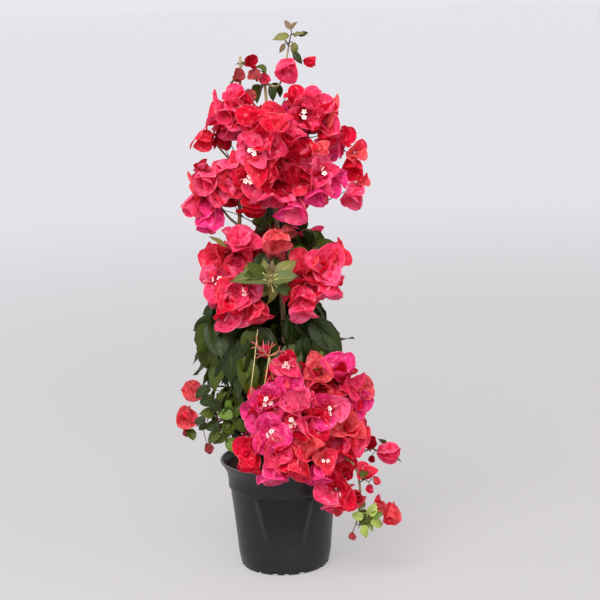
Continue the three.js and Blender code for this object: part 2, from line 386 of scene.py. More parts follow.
def makeStudio():
    bpy.ops.mesh.primitive_plane_add(size=studio["floorSize"], location=(0, 0, 0))
    floor = bpy.context.object
    floor.name = "floor"
    finish = Finish("floorPaper")
    # a painted shadow: the floor's tone is darker round a spot behind the plant and fades outwards
    x, y = finish.parts(finish.objectPlace())[:2]
    middle = studio["shadowMiddle"]
    away = ((x - middle[0]) ** 2 + (y - middle[1]) ** 2) ** 0.5
    near, far = (colour(text) for text in studio["floorTones"])
    tone = finish.mix(near, far, away.ramp(*studio["shadowReach"]))
    finish.set(Base_Color=tone, Emission_Color=tone, Emission_Strength=studio["floorGlow"] / near[1],
               Roughness=0.85, Specular_IOR_Level=0.1)
    floor.data.materials.append(finish.material)
    world = bpy.data.worlds.new("studio")
    bpy.context.scene.world = world
    world.use_nodes = True
    tone, strength = studio["sky"]
    background = world.node_tree.nodes["Background"]
    background.inputs["Color"].default_value = colour(tone)
    background.inputs["Strength"].default_value = strength
    for strength, softness, height, bearing in studio["suns"]:
        bpy.ops.object.light_add(type="SUN", location=(0, -1, 2))
        sun = bpy.context.object
        sun.data.energy = strength
        sun.data.angle = math.radians(softness)
        sun.rotation_euler = (math.radians(90 - height), 0, math.radians(bearing))
    lean = math.radians(90 - studio["lampDown"])
    bpy.ops.object.light_add(type="AREA", location=studio["lampPlace"], rotation=(lean, 0, 0))
    lamp = bpy.context.object
    lamp.data.energy = studio["lampPower"]
    lamp.data.size = studio["lampSize"]
    lamp.visible_camera = False
    bpy.context.scene.view_settings.view_transform = "Standard"


makeCamera()
makeStudio()
print("camera, floor and light are in place")


# the pot

pot = {
    "height": 150,
    "rimRadius": 85,
    "rimRoll": 1.8,
    "lipHeight": 37,
    "lipFoot": 74.5,
    "lipCurve": 3.2,
    "step": 3,
    "bellyHeight": 32,
    "bellyRadius": 64.2,
    "footRadius": 55.5,
    "corner": 5,
    "wall": 2,
    "floor": 3,
    "sides": 240,
    "underside": (20, 40),  # rings in the underside
    "wallRows": 14,  # rows of faces up the wall and up the lip
    "lipRows": 8,
    "flutes": 36,  # faint flutes round the wall
    "fluteDepth": 0.05,
    "smoothUnder": 35,  # edges that turn by less than this many degrees look smooth
    "panels": 3,
    "panelTurn": 1.5,  # degrees that the front panel is turned to the right
    "panelDepth": 2.6,
    "panelFlat": 1.6,  # how much deeper a panel is along its middle
    "ribHeight": 0.6,  # a rib stands along each panel's edge
    "panelLevels": (18, 108),
    "panelHalf": (16, 31.5),  # half a panel's spread in degrees at these levels
    "panelFade": (16, 62),  # the levels between which a panel sinks in
    "panelRows": 16,  # rows of corners in half a panel
    "panelShadeLevels": (30, 85),  # the levels between which its painted shade comes in
    "drains": 15,
    "drainWidth": (5, 9.5),
    "drainHeight": (3.5, 6.5),
    "seed": 12,
}


def potProfile():
    # the outer wall from the middle of the underside up to the rim, as radius and height
    stepLevel = pot["height"] - pot["lipHeight"]
    corner = pot["corner"]
    foot, belly, bellyHeight = pot["footRadius"], pot["bellyRadius"], pot["bellyHeight"]
    line = [(radius, 0) for radius in (*pot["underside"], foot - 4, foot)]
    for turn in np.radians([30, 60, 90]):
        line.append((foot + corner * math.sin(turn), corner * (1 - math.cos(turn))))
    rounding = belly - foot - corner
    for share in (0.15, 0.35, 0.6, 0.8, 1):
        line.append((foot + corner + rounding * math.sin(share * math.pi / 2),
                     corner + (bellyHeight - corner) * share))
    widening = pot["lipFoot"] - pot["step"] - belly
    climb = stepLevel - pot["step"] - bellyHeight
    for share in np.linspace(0, 1, pot["wallRows"] + 1)[1:]:
        line.append((belly + widening * share, bellyHeight + climb * share))
    line.append((pot["lipFoot"] - 0.4, stepLevel - 0.8))
    line.append((pot["lipFoot"], stepLevel))
    flare = pot["rimRadius"] - pot["lipFoot"] - pot["rimRoll"] * 0.4
    rise = pot["lipHeight"] - pot["rimRoll"] * 2
    for share in np.linspace(0, 1, pot["lipRows"] + 1)[1:]:
        line.append((pot["lipFoot"] + flare * share ** pot["lipCurve"], stepLevel + rise * share))
    return line


def makePot():
    line = potProfile()
    roll = pot["rimRoll"]
    middle = (pot["rimRadius"] - roll, pot["height"] - roll)
    for turn in np.radians(range(-20, 221, 30)):
        line.append((middle[0] + roll * math.cos(turn), middle[1] + roll * math.sin(turn)))
    inner = [(r - pot["wall"], z) for r, z in potProfile() if pot["floor"] + 1 < z < pot["height"] - 6]
    line += inner[::-1] + [(pot["footRadius"] - pot["wall"], pot["floor"]), (30, pot["floor"])]
    bpy.ops.object.select_all(action="DESELECT")
    radius, level = line[0]
    bpy.ops.mesh.primitive_circle_add(vertices=pot["sides"], radius=radius * mm,
                                      location=(0, 0, level * mm))
    piece = bpy.context.object
    piece.name = "nurseryPot"
    bpy.ops.object.mode_set(mode="EDIT")
    bpy.ops.mesh.select_all(action="SELECT")
    for nextRadius, nextLevel in line[1:]:
        bpy.ops.mesh.extrude_edges_move()
        bpy.ops.transform.resize(value=(nextRadius / radius, nextRadius / radius, 1))
        bpy.ops.transform.translate(value=(0, 0, (nextLevel - level) * mm))
        radius, level = nextRadius, nextLevel
    bpy.ops.mesh.edge_face_add()
    bpy.ops.mesh.select_all(action="DESELECT")
    bpy.ops.mesh.select_non_manifold()
    bpy.ops.mesh.edge_face_add()
    bpy.ops.mesh.select_all(action="SELECT")
    bpy.ops.mesh.normals_make_consistent(inside=False)
    bpy.ops.object.mode_set(mode="OBJECT")
    bpy.ops.object.transform_apply(location=True, rotation=True, scale=True)
    dentPanels(piece)
    cutDrains(piece)
    bpy.ops.object.shade_smooth_by_angle(angle=math.radians(pot["smoothUnder"]))
    return piece


def dentPanels(piece):
    # flat panels moulded into the wall, narrower towards the foot; the wall's corners are moved round
    # so that one row of them follows each panel's edge, where a rib stands
    corners = np.zeros(len(piece.data.vertices) * 3)
    piece.data.vertices.foreach_get("co", corners)
    corners = corners.reshape(-1, 3) / mm
    radius = np.hypot(corners[:, 0], corners[:, 1])
    turn = np.degrees(np.arctan2(corners[:, 1], corners[:, 0]))
    z = corners[:, 2]
    top = pot["height"] - pot["lipHeight"] - 5
    wallRadius = np.interp(z, [0, pot["bellyHeight"], top],
                           [pot["footRadius"], pot["bellyRadius"], pot["lipFoot"] - pot["step"]])
    outside = (radius > wallRadius - 1.2) & (z < top + 2) & (z > 8)
    column = 360 / pot["sides"]
    step = 360 / pot["panels"]
    middle = pot["panelTurn"] - 90
    number = np.round((turn - middle) / step)
    off = turn - middle - number * step
    seam = pot["panelRows"] * column  # the row of corners that is moved onto the edge
    edge = np.interp(z, pot["panelLevels"], pot["panelHalf"])
    away = np.abs(off)
    beyond = edge + (away - seam) * (step / 2 - edge) / (step / 2 - seam)
    moved = np.where(away < seam, away * edge / seam, beyond)
    ends = np.clip((top + 1 - z) / 3, 0, 1) * np.interp(z, pot["panelFade"], (0, 1))
    rows = (away - seam) / column
    inside = np.clip(-rows / 2, 0, 1)
    sunk = pot["panelDepth"] + pot["panelFlat"] * (1 - (away / seam) ** 2)
    depth = inside**2 * (3 - 2 * inside) * sunk
    depth -= pot["ribHeight"] * np.interp(rows, [-1, 0, 1, 3], [0, 1, 0.7, 0])
    fluted = pot["fluteDepth"] * (1 + np.cos(np.radians(turn) * pot["flutes"]))
    depth = depth * ends + fluted * np.clip((top - z) / 4, 0, 1)
    turned = np.radians(middle + number * step + np.sign(off) * (away + (moved - away) * (ends > 0)))
    corners[:, 0] = np.where(outside, (radius - depth) * np.cos(turned), corners[:, 0])
    corners[:, 1] = np.where(outside, (radius - depth) * np.sin(turned), corners[:, 1])
    piece.data.vertices.foreach_set("co", (corners * mm).ravel())
    piece.data.update()


def cutDrains(piece):
    rng = np.random.default_rng(pot["seed"])
    for i in range(pot["drains"]):
        turn = (i + rng.uniform(0.2, 0.8)) / pot["drains"] * 2 * math.pi
        reach = (pot["footRadius"] + pot["corner"] * 1.2) * mm
        place = (reach * math.cos(turn), reach * math.sin(turn), 0)
        bpy.ops.mesh.primitive_cube_add(size=mm, location=place, rotation=(0, 0, turn))
        cutter = bpy.context.object
        wide, tall = rng.uniform(*pot["drainWidth"]), rng.uniform(*pot["drainHeight"])
        cutter.scale = (pot["corner"] * 4, wide, tall * 2)
        bpy.ops.object.transform_apply(location=True, rotation=True, scale=True)
        bpy.context.view_layer.objects.active = piece
        notch = piece.modifiers.new("drain", "BOOLEAN")
        notch.object = cutter
        notch.solver = "EXACT"
        bpy.ops.object.modifier_apply(modifier=notch.name)
        bpy.data.objects.remove(cutter)
    bpy.ops.object.select_all(action="DESELECT")
    piece.select_set(True)


plastic = {
    "deep": "151517",
    "cloudy": "212225",
    # the tone of the painted shade on the flat panels
    "panelShade": "0c0c0d",
    # the tone of a painted highlight along the panels' ribs
    "rib": "46474b",
    "dust": "3c3935",
    # the tone of a painted highlight along the rim's top
    "rimHighlight": "6c6e72",
    "dustLevels": (0.120, 0.150),
    "rimHighlightLevels": (0.1475, 0.1495),
}


def potPlastic():
    # black plastic, dusty at the rim, with a painted highlight along the ribs and on the rim's top edge, and
    # painted shade darkening the flat panels
    finish = Finish("potPlastic")
    place = finish.objectPlace()
    x, y, z = finish.parts(place)
    grain = finish.noise(place, 900, 2)
    cloud = finish.noise(place, 14, 4)
    scuffs = finish.noise(finish.stretched(place, 60, 60, 420), 1, 5, 0.7)
    step = 2 * math.pi / pot["panels"]
    middle = math.radians(pot["panelTurn"] - 90)
    off = abs(((finish.math("ARCTAN2", y, x) - middle) * (1 / step) + 0.5).fraction() - 0.5) * step
    low, high = (level * mm for level in pot["panelLevels"])
    least, most = (math.radians(half) for half in pot["panelHalf"])
    edge = (z - low) * ((most - least) / (high - low)) + least
    wall = z.ramp(low, low + 0.03) * z.ramp(high + 0.004, high)
    # painted shade on the flat panels, fading out towards the foot
    panelShade = (edge - off).ramp(-0.03, 0.03) * wall * z.ramp(*(level * mm for level in pot["panelShadeLevels"]))
    # painted highlight: a paler streak along each rib, where it would catch the light
    rib = abs(off - edge - 0.015).ramp(0.06, 0.0) * wall
    dust = z.ramp(*plastic["dustLevels"]) * cloud
    marks = scuffs.ramp(0.62, 0.74) * 0.25
    layers = [
        ("cloudy", cloud),
        ("panelShade", panelShade * 0.8),
        ("rib", rib * z.ramp(0.03, 0.08) * cloud * 0.6),
        ("dust", (dust * 0.3 + marks * 0.5).least(1.0)),
        # painted highlight: a paler line along the rim's top
        ("rimHighlight", z.ramp(*plastic["rimHighlightLevels"]) * 0.5),
    ]
    tone = finish.layered(colour(plastic["deep"]), [(colour(plastic[name]), share) for name, share in layers])
    finish.set(Base_Color=tone, Roughness=cloud * 0.16 + 0.28 + marks * 0.4 - panelShade * 0.06,
               Specular_IOR_Level=0.3, Normal=finish.bump(grain + scuffs * 0.4, 0.00012, 0.35))
    return finish.material


finished(makePot(), potPlastic(), ["pot"])
print("the pot is made")


# the soil

soil = {
    "level": 143,
    "edgeDrop": 3,
    "rows": 46,
    "columns": 120,
    "lumps": [(7, 1.5), (3.1, 1.0), (1.4, 0.7)],  # how wide they are, and their share of the relief
    "grain": 3.2,  # how high they are
    "skirt": 8,  # how far the bed goes down at the wall
    "tones": ("1c130d", "4a3524", "8d7152"),  # dark and pale compost, and fibres
    "crumbs": 900,
    "crumbForms": 6,
    "crumbSize": (1.2, 4.2),
    "seed": 3,
}


def wallInside(level):
    # how wide the pot is inside at a level
    outline = [(z, r) for r, z in potProfile() if z > pot["corner"]]
    heights, radii = zip(*outline)
    return np.interp(level, heights, radii) - pot["wall"]


def makeSoil():
    # a round bed whose top is pushed up and down into crumbs
    outer = wallInside(soil["level"] - soil["edgeDrop"]) + 0.3
    rows, columns = soil["rows"], soil["columns"]
    share = np.linspace(0.0, 1, rows)[:, None]
    turn = around(columns)[None, :]
    radius = outer * share + 0 * turn
    radius[0] = 0.5
    x, y = radius * np.cos(turn), radius * np.sin(turn)
    z = soil["level"] - soil["edgeDrop"] * (share + 0 * turn) ** 2
    for i in range(rows):
        for j in range(columns):
            at = Vector((x[i, j], y[i, j], 0))
            rough = sum(noise.noise(at / wide) * part for wide, part in soil["lumps"])
            z[i, j] += rough * soil["grain"] * 0.32 - 0.6
    z[0] = z[0].mean()
    low = soil["level"] - soil["edgeDrop"] - soil["skirt"]
    inward = wallInside(low) / outer
    skirt = np.stack([x[-1] * inward, y[-1] * inward, 0 * x[-1] + low], axis=1)
    corners = np.vstack([np.stack([x, y, z], axis=-1).reshape(-1, 3), skirt])
    u = corners[:, 0] / outer * 0.49 + 0.5
    v = corners[:, 1] / outer * 0.49 + 0.5
    bed = Shape(corners, gridFaces(rows + 1, columns, closed=True)[:, ::-1], np.stack([u, v], axis=1))
    heap = Heap()
    heap.add(bed)
    return heap


def crumbShape(rng):
    corners = np.array([[x, y, z] for x in (-1, 1) for y in (-1, 1) for z in (-1, 1)], float)
    corners = corners * 0.5 + rng.normal(0, 0.12, corners.shape)
    faces = [(0, 1, 3, 2), (4, 6, 7, 5), (0, 4, 5, 1), (2, 3, 7, 6), (0, 2, 6, 4), (1, 5, 7, 3)]
    return Shape(corners, faces, rng.uniform(0.02, 0.98, (8, 2)))


def soilFinish():
    finish = Finish("compost")
    place = finish.objectPlace()
    clods = finish.noise(place, 130, 6, 0.7)
    fibres = finish.noise(finish.stretched(place, 260, 900, 400), 1, 3)
    dark, pale, fibre = (colour(text) for text in soil["tones"])
    tone = finish.layered(dark, [(pale, clods.ramp(0.35, 0.68)), (fibre, fibres.ramp(0.60, 0.72) * 0.8)])
    finish.set(Base_Color=tone, Roughness=0.96, Specular_IOR_Level=0.2,
               Normal=finish.bump(clods + fibres * 0.4, 0.0015, 0.8))
    return finish.material


def makeCrumbs():
    rng = np.random.default_rng(soil["seed"])
    heap = Heap()
    outer = wallInside(soil["level"] - soil["edgeDrop"]) - 2
    number = soil["crumbs"] // soil["crumbForms"]
    for shape in [crumbShape(rng) for _ in range(soil["crumbForms"])]:
        radius = outer * np.sqrt(rng.uniform(0.02, 1, number))
        turn = rng.uniform(0, 2 * math.pi, number)
        level = soil["level"] - soil["edgeDrop"] * (radius / outer) ** 2 + rng.uniform(-0.8, 0.9, number)
        places = np.stack([radius * np.cos(turn), radius * np.sin(turn), level], axis=1)
        turns = axesAlong(rng.normal(size=(number, 3)), rng.normal(size=(number, 3)))
        heap.addCopies(shape, zip(turns, places, rng.uniform(*soil["crumbSize"], number)))
    return heap


compost = soilFinish()
makeSoil().build("soilBed", compost, "soil", ["soil"])
makeCrumbs().build("soilCrumbs", compost, "soil", smooth=False)
print("the soil is made")


# trunk, stems and boughs

limbs = {
    "trunk": {"through": [[-8, 4, 132], [-8.6, 3.6, 146], [-9.6, 3, 161], [-11, 2, 184]],
        "radii": (14, 8.5, 8.7, 10)},
    "stem_right": {"through": [[-5, 0, 179], [-5.8, 0, 198], [8, -4, 250], [7, 0, 326], [1, 0, 478],
        [-10, 0, 672]], "radii": (4.6, 1.7)},
    "stem_left": {"through": [[-16, -2, 179], [-18.4, -2.3, 198], [-52, -8, 255], [-52, 0, 380],
        [-46, 0, 520], [-40, 0, 690]], "radii": (4.2, 1.5)},
    "stem_back": {"through": [[-11, 8.5, 179], [-12.7, 9.8, 198], [-4, 34, 260], [-6, 32, 400],
        [-8, 30, 520], [-2, 20, 622]], "radii": (3.8, 1.5)},
    "leader": {"through": [[-10, 0, 655], [8, -6, 652], [17, -8, 672], [24, -2, 705]], "radii": (1.6, 0.9)},
    "bough_left_high": {"through": [[-45, 0, 545], [-62, -4, 562], [-78, -10, 582]], "radii": (1.8, 1.0)},
    "bough_left": {"through": [[-48, 0, 468], [-62, -8, 482], [-76, -22, 505]], "radii": (2.0, 1.1)},
    "bough_right_high": {"through": [[-3, 0, 560], [28, -8, 584], [62, -6, 590], [92, 0, 572]],
        "radii": (2.1, 1.1)},
    "bough_mid_right": {"through": [[5, 0, 376], [28, -10, 390], [48, -22, 402]], "radii": (2.2, 1.4)},
    "twig_left_high": {"through": [[-55, -8, 248], [-82, -6, 252], [-110, 0, 247]], "radii": (1.6, 0.9)},
    "twig_left_low": {"through": [[-48, -8, 222], [-84, -14, 205], [-104, -10, 196], [-120, -8, 202]],
        "radii": (1.6, 0.9)},
    "twig_right": {"through": [[72, -56, 176], [98, -36, 160], [118, -24, 164], [130, -20, 160]],
        "radii": (1.6, 0.9)},
    "spray_stalk": {"through": [[72, -64, 172], [96, -84, 158], [102, -86, 122], [98, -84, 88],
        [90, -85, 66]], "radii": (1.9, 0.9)},
}

bark = {
    "steps": 14,  # rings to each stretch of a limb
    "trunkSteps": 12,
    "sides": {"trunk": 40, "stout": 14, "thin": 8},
    "stoutFrom": 3,
    "trunkRelief": 1.3,
    "ridges": 5,  # bark ridges round a stem
    "ridgeLength": 22,
    "relief": 0.10,  # how deep they are, as a share of the radius
    "nodeEvery": 34,  # leaf scars along a stem
    "nodeWidth": 2.2,
    "nodeSwell": 0.16,
    "old": ("5a4836", "a58c6c"),
    "young": ("7d7448", "a08a60"),
    "youngFrom": (0.24, 0.46),  # metres above the ground
    "cracks": "3a2a1f",
}


def limbShape(name):
    through, radii = limbs[name]["through"], limbs[name]["radii"]
    isTrunk = name == "trunk"
    line = smoothRoute(through, bark["trunkSteps"] if isTrunk else bark["steps"])
    along = np.concatenate([[0], np.cumsum(np.linalg.norm(np.diff(line, axis=0), axis=1))])
    share = along / along[-1]
    radius = np.interp(share, np.linspace(0, 1, len(radii)), radii)
    near = np.abs((along / bark["nodeEvery"] + 0.5) % 1 - 0.5) * bark["nodeEvery"]
    if not isTrunk:
        radius *= 1 + bark["nodeSwell"] * np.exp(-(near / bark["nodeWidth"]) ** 2)
    kind = "trunk" if isTrunk else "stout" if radius.max() > bark["stoutFrom"] else "thin"
    sides = bark["sides"][kind]
    shape = tube(line, radius, sides)
    middle = np.repeat(np.vstack([line, line[-1:]]), sides, axis=0)
    turn = np.tile(around(sides), len(line) + 1)
    out = shape.corners - middle
    relief = np.zeros(len(out))
    for i, (corner, angle) in enumerate(zip(shape.corners, turn)):
        across, deep = math.cos(angle) * bark["ridges"] / 3, math.sin(angle) * bark["ridges"] / 3
        at = Vector((across, deep, corner[2] / bark["ridgeLength"]))
        broad = noise.noise(at * 1.3)
        ridge = 1 - 2 * abs(noise.noise(at * 3.1 + Vector((7, 3, 1))))
        relief[i] = broad * 0.6 + ridge * 0.5
    depth = bark["relief"] * (bark["trunkRelief"] if isTrunk else 1)
    shape.corners = middle + out * (1 + depth * relief)[:, None]
    return shape


def barkFinish():
    finish = Finish("bark")
    place = finish.objectPlace()
    height = finish.parts(place)[2]
    grain = finish.noise(finish.stretched(place, 900, 900, 130), 1, 5, 0.65)
    patches = finish.noise(finish.stretched(place, 120, 120, 45), 1, 3)
    old = finish.mix(*map(colour, bark["old"]), grain.ramp(0.35, 0.7))
    young = finish.mix(*map(colour, bark["young"]), patches.ramp(0.4, 0.65))
    tone = finish.mix(old, young, height.ramp(*bark["youngFrom"]) * 0.8)
    tone = finish.mix(tone, colour(bark["cracks"]), grain.ramp(0.3, 0.18) * 0.8)
    finish.set(Base_Color=tone, Roughness=0.82, Specular_IOR_Level=0.3,
               Normal=finish.bump(grain, 0.0008, 0.7))
    return finish.material


barkSkin = barkFinish()
groups = {
    "trunkWood": ["trunk"],
    "stemWood": ["stem_right", "stem_left", "stem_back"],
    "boughWood": [name for name in limbs if name.split("_")[0] in ("leader", "bough", "twig", "spray")],
}
for group, names in groups.items():
    heap = Heap()
    for name in names:
        heap.add(limbShape(name))
    heap.build(group, barkSkin, "bark", names)
print("trunk, stems and boughs are made")


# the shapes of one bract, one leaf, one floret and one bud

def blade(length, width, rows, columns, early, late, point, fold, cup, curl, tip, frill, frills, phase, heart,
          pleats, tile):
    # a leaf-like blade along +Y with its inner face to +Z; early and late shape the outline
    s = 0.5 - 0.5 * np.cos(np.linspace(0.0, 1, rows) * math.pi)
    s = 0.006 + 0.986 * (0.55 * s + 0.45 * np.linspace(0, 1, rows))
    t = np.linspace(-1, 1, columns)
    s, t = np.meshgrid(s, t, indexing="ij")
    peak = (early / (early + late)) ** early * (late / (early + late)) ** late
    half = s**early * (1 - s) ** late / peak
    x = half * t * width / 2
    y = length * s - heart * length * np.abs(t) ** 1.5 * (1 - s) ** 4 * np.minimum(half * 3, 1)
    y += point * length * s**8 * (1 - np.abs(t))
    across = np.abs(t) * half
    z = fold * width * across + cup * width * across**2 + curl * length * s**2
    z += tip * length * np.maximum(s - 0.55, 0) ** 2 * 4
    turn, reach = np.arctan2(x, y + 0.12 * length), np.hypot(x, y) / length
    for count, offset, depth in pleats:
        z += depth * length * np.sin(count * turn + offset) * reach * (0.6 + 0.5 * across)
    z += frill * length * np.sin(2 * math.pi * frills * s + phase + 1.3 * np.sign(t)) * across**2
    corners = np.stack([x, y, z], axis=-1).reshape(-1, 3)
    uv = np.stack([t * 0.5 + 0.5, (s - s.min()) / np.ptp(s)], axis=-1).reshape(-1, 2)
    uv = uv * tileSpan + mapMargin + 0.5 * np.array([tile % 2, tile // 2])
    return Shape(corners, gridFaces(rows, columns)[:, ::-1], uv)


def dealt(rng, ranges):
    # one value from each range, in their order
    return {name: rng.uniform(*span) for name, span in ranges.items()}


def pleated(rng, pleats):
    # how many of a pleat fit round the foot, where they start, and how deep they are
    return [(rng.uniform(*count), rng.uniform(0, 6.3), rng.uniform(*depth)) for count, depth in pleats]


bract = {
    "length": 31,
    "width": 29,
    "widths": (0.9, 1.12),
    "rows": 10,
    "columns": 10,
    "forms": 12,
    "pleats": [((2.5, 4), (0.08, 0.16)), ((4.5, 7), (0.04, 0.07))],
    "outline": {"early": (0.4, 0.5), "late": (0.42, 0.54), "point": (-0.04, 0.04), "fold": (0.0, 0.3),
                "cup": (0.02, 0.4)},
    "edge": {"frill": (0.03, 0.08), "frills": (1.2, 2.4), "phase": (0, 6.3)},
    "heart": 0.12,
    "curl": 0.16,  # how far a closed bract curls in, and what opening takes from it
    "uncurl": 0.34,
    "tip": (-0.4, 0.1),
    "crumple": 1.7,
    "lean": 13,  # degrees from the bloom's middle line, closed, and what opening adds
    "opening": 55,
    "foot": 0.45,  # a bloom's foot lies this share of a bract's length below its middle
    "reach": 24,
    "strayTint": 0.22,  # bracts that wear a tint near their bloom's own
    "seed": 5,
}


def bractShapes(openness):
    # forms of a bract: those of a lantern curl in at the tip, those of an open bloom turn back
    rng = np.random.default_rng(bract["seed"] + int(openness * 10))
    shapes = []
    for i in range(bract["forms"]):
        pleats = pleated(rng, bract["pleats"])
        width = bract["width"] * rng.uniform(*bract["widths"])
        outline = dealt(rng, bract["outline"])
        curl = bract["curl"] - bract["uncurl"] * openness + rng.normal(0, 0.05)
        tip = rng.uniform(*bract["tip"]) * (0.3 + openness)
        edge = dealt(rng, bract["edge"])
        shapes.append(blade(bract["length"], width, bract["rows"], bract["columns"], **outline, **edge,
                            curl=curl, tip=tip, heart=bract["heart"], pleats=pleats, tile=i % 4))
        for corner in shapes[-1].corners:
            at = Vector((corner[0] / 7, corner[1] / 9, i * 5 + openness * 9))
            corner[2] += bract["crumple"] * (noise.noise(at) + 0.3 * noise.noise(at * 2.1)) * corner[1] / 20
    return shapes


floret = {
    "radius": 4.3,
    "corners": 20,
    "length": (20, 23),  # from the bracts' foot to its face
    "size": (0.82, 1.0),
    "face": ("e39a9c", "fae2da"),  # throat and lobes
    "tube": ("c9405c", "d96a78"),
}


def starShape():
    # a floret's face: five notched lobes round a small dip
    number = floret["corners"]
    ring = around(number)
    reach = floret["radius"] * (0.6 + 0.4 * np.abs(np.cos(2.5 * ring)) ** 0.8)
    rows = []
    for out, height in ((0.5, -0.9), (0.42 * reach, 0.1), (reach, 0.35 + 0.25 * np.cos(5 * ring))):
        rows.append(np.stack([out * np.cos(ring), out * np.sin(ring), height + 0 * ring], axis=1))
    share = np.repeat([0.05, 0.45, 0.97], number)
    uv = np.stack([np.tile(np.linspace(0.02, 0.98, number), 3), share], axis=1)
    return Shape(np.vstack(rows), gridFaces(3, number, closed=True), uv)


def budShape(thick):
    # a closed floret, one unit long: a thin tube that swells to a blunt tip
    s = np.array([0, 0.25, 0.5, 0.7, 0.85, 0.95])
    line = np.stack([0 * s, 0 * s, s], axis=1)
    radii = thick * np.array([0.42, 0.5, 0.62, 0.95, 1.0, 0.62])
    return tube(line, radii, 6)


leaf = {
    "forms": 8,
    "rows": 9,
    "columns": 7,
    "widths": (0.88, 1.12),
    "pleats": [((2, 4), (0.01, 0.05))],
    "outline": {"early": (0.46, 0.54), "late": (0.9, 1.1), "point": (0.04, 0.14), "fold": (0.15, 0.48),
                "cup": (-0.25, 0.0), "curl": (-0.36, -0.05), "tip": (-0.3, 0.1), "frill": (0.02, 0.07),
                "frills": (1.2, 2.2), "phase": (0, 6.3)},
    "heart": 0.07,
    "pointed": {"wide": 0.62, "seed": 21, "late": 0.8},
    "round": {"wide": 0.8, "seed": 22, "late": 0.56},
}


def leafShapes(wide, seed, late):
    rng = np.random.default_rng(seed)
    shapes = []
    for i in range(leaf["forms"]):
        pleats = pleated(rng, leaf["pleats"])
        width = wide * rng.uniform(*leaf["widths"])
        outline = dealt(rng, leaf["outline"])
        outline["late"] *= late
        shapes.append(blade(1.0, width, leaf["rows"], leaf["columns"], **outline, heart=leaf["heart"],
                            pleats=pleats, tile=i % 4))
    return shapes


openings = {"lantern": 0.1, "half": 0.5, "wide": 0.95}
bractForms = [shape for openness in openings.values() for shape in bractShapes(openness)]
leafForms = leafShapes(**leaf["pointed"]) + leafShapes(**leaf["round"])
star = starShape()
floretTube = budShape(0.075)


# growing: a new twig leaves the wood grown so far where it has least far to go

growth = {
    "seed": 41,
    "fallCost": 0.5,  # what it costs to start above the target, for each millimetre
    "rise": 0.22,
    "early": 0.3,  # where the twig's two bends lie, as shares of its length
    "late": 0.33,
    "towards": 1.3,  # how strongly it turns to its target
    "thinnest": 0.42,
    "thickest": 1.7,
    "perBloom": 0.2,
    "sides": 5,
    "tones": ("38221e", "4d3026"),
    "spare": 7,  # how far a bract may stand out of the box of the solid model
}


class Wood:
    def __init__(self):
        self.places, self.ways, self.owners, self.twigs = [], [], [], []

    def addLimb(self, line):
        for place, way in zip(line, unit(np.gradient(line, axis=0))):
            self.places.append(place)
            self.ways.append(way)
            self.owners.append(-1)

    def grow(self, target, arriving):
        places = np.array(self.places)
        away = target - places
        far = np.linalg.norm(away, axis=1)
        best = int(np.argmin(far + growth["fallCost"] * np.maximum(-away[:, 2], 0)))
        start, way, length = places[best], self.ways[best], far[best]
        lift = np.array([0, 0, 1.0]) * growth["rise"] * length
        leaving = unit(way + growth["towards"] * unit(target - start))
        early = start + leaving * length * growth["early"] + lift * 0.5
        late = target - unit(arriving) * length * growth["late"]
        t = np.linspace(0, 1, 9)[:, None]
        line = (1 - t) ** 3 * start + 3 * (1 - t) ** 2 * t * early + 3 * (1 - t) * t**2 * late + t**3 * target
        directions = unit(np.gradient(line, axis=0))
        for i in range(2, 7):  # later twigs may leave its middle part
            self.places.append(line[i])
            self.ways.append(directions[i])
            self.owners.append(len(self.twigs))
        self.twigs.append({"line": line, "parent": self.owners[best], "load": 1.0})

    def heap(self):
        for twig in reversed(self.twigs):
            if twig["parent"] >= 0:
                self.twigs[twig["parent"]]["load"] += twig["load"]
        heap = Heap()
        for twig in self.twigs:
            thick = growth["thinnest"] + growth["perBloom"] * math.sqrt(twig["load"])
            radii = np.linspace(min(thick, growth["thickest"]), growth["thinnest"], len(twig["line"]))
            heap.add(tube(twig["line"], radii, growth["sides"]))
        return heap


wood = Wood()
for name, limb in limbs.items():
    if name != "trunk":
        wood.addLimb(smoothRoute(limb["through"], 10)[4:])


# what grows in each mass: u and v run from -1 to 1 across and up the side that is seen first

tints = {  # the bract's skin, its veins and its throat, whose tone also serves as painted shade in the creases
    "magenta": ("fb4490", "c2165a", "d0144c"),
    "rose": ("ff6490", "d42656", "de2048"),
    "pink": ("ff4a78", "cc1842", "d81838"),
    "crimson": ("ee1e40", "a80a26", "ac0a24"),
    "scarlet": ("fb3e5a", "be142e", "c6162e"),
    "coral": ("f96068", "c82e38", "cc2834"),
    # dark: a deeper crimson, partly painted shade for blooms that sit in shade deep in the crown
    "dark": ("b80e26", "7e0616", "780612"),
    "dusty": ("bc4e50", "8e3234", "842a2c"),
}

poses = {  # which way a bloom looks, and how far it is open
    "face": ((0, -1, 0.15), 0.62),
    "up": ((0, -0.6, 1), 0.4),
    "hang": ((0, -0.5, -1), 0.32),
    "left": ((-1, -0.7, 0.1), 0.42),
    "right": ((1, -0.7, 0.1), 0.42),
    "out": (None, 0.5),
    "bud": ((0, -0.3, -1), 0.0),
    "budLeft": ((-1, -0.2, 0.45), 0.0),
    "budRight": ((1, -0.2, -0.1), 0.0),
    "round": ((-0.25, -0.75, -0.7), 0.2),
}

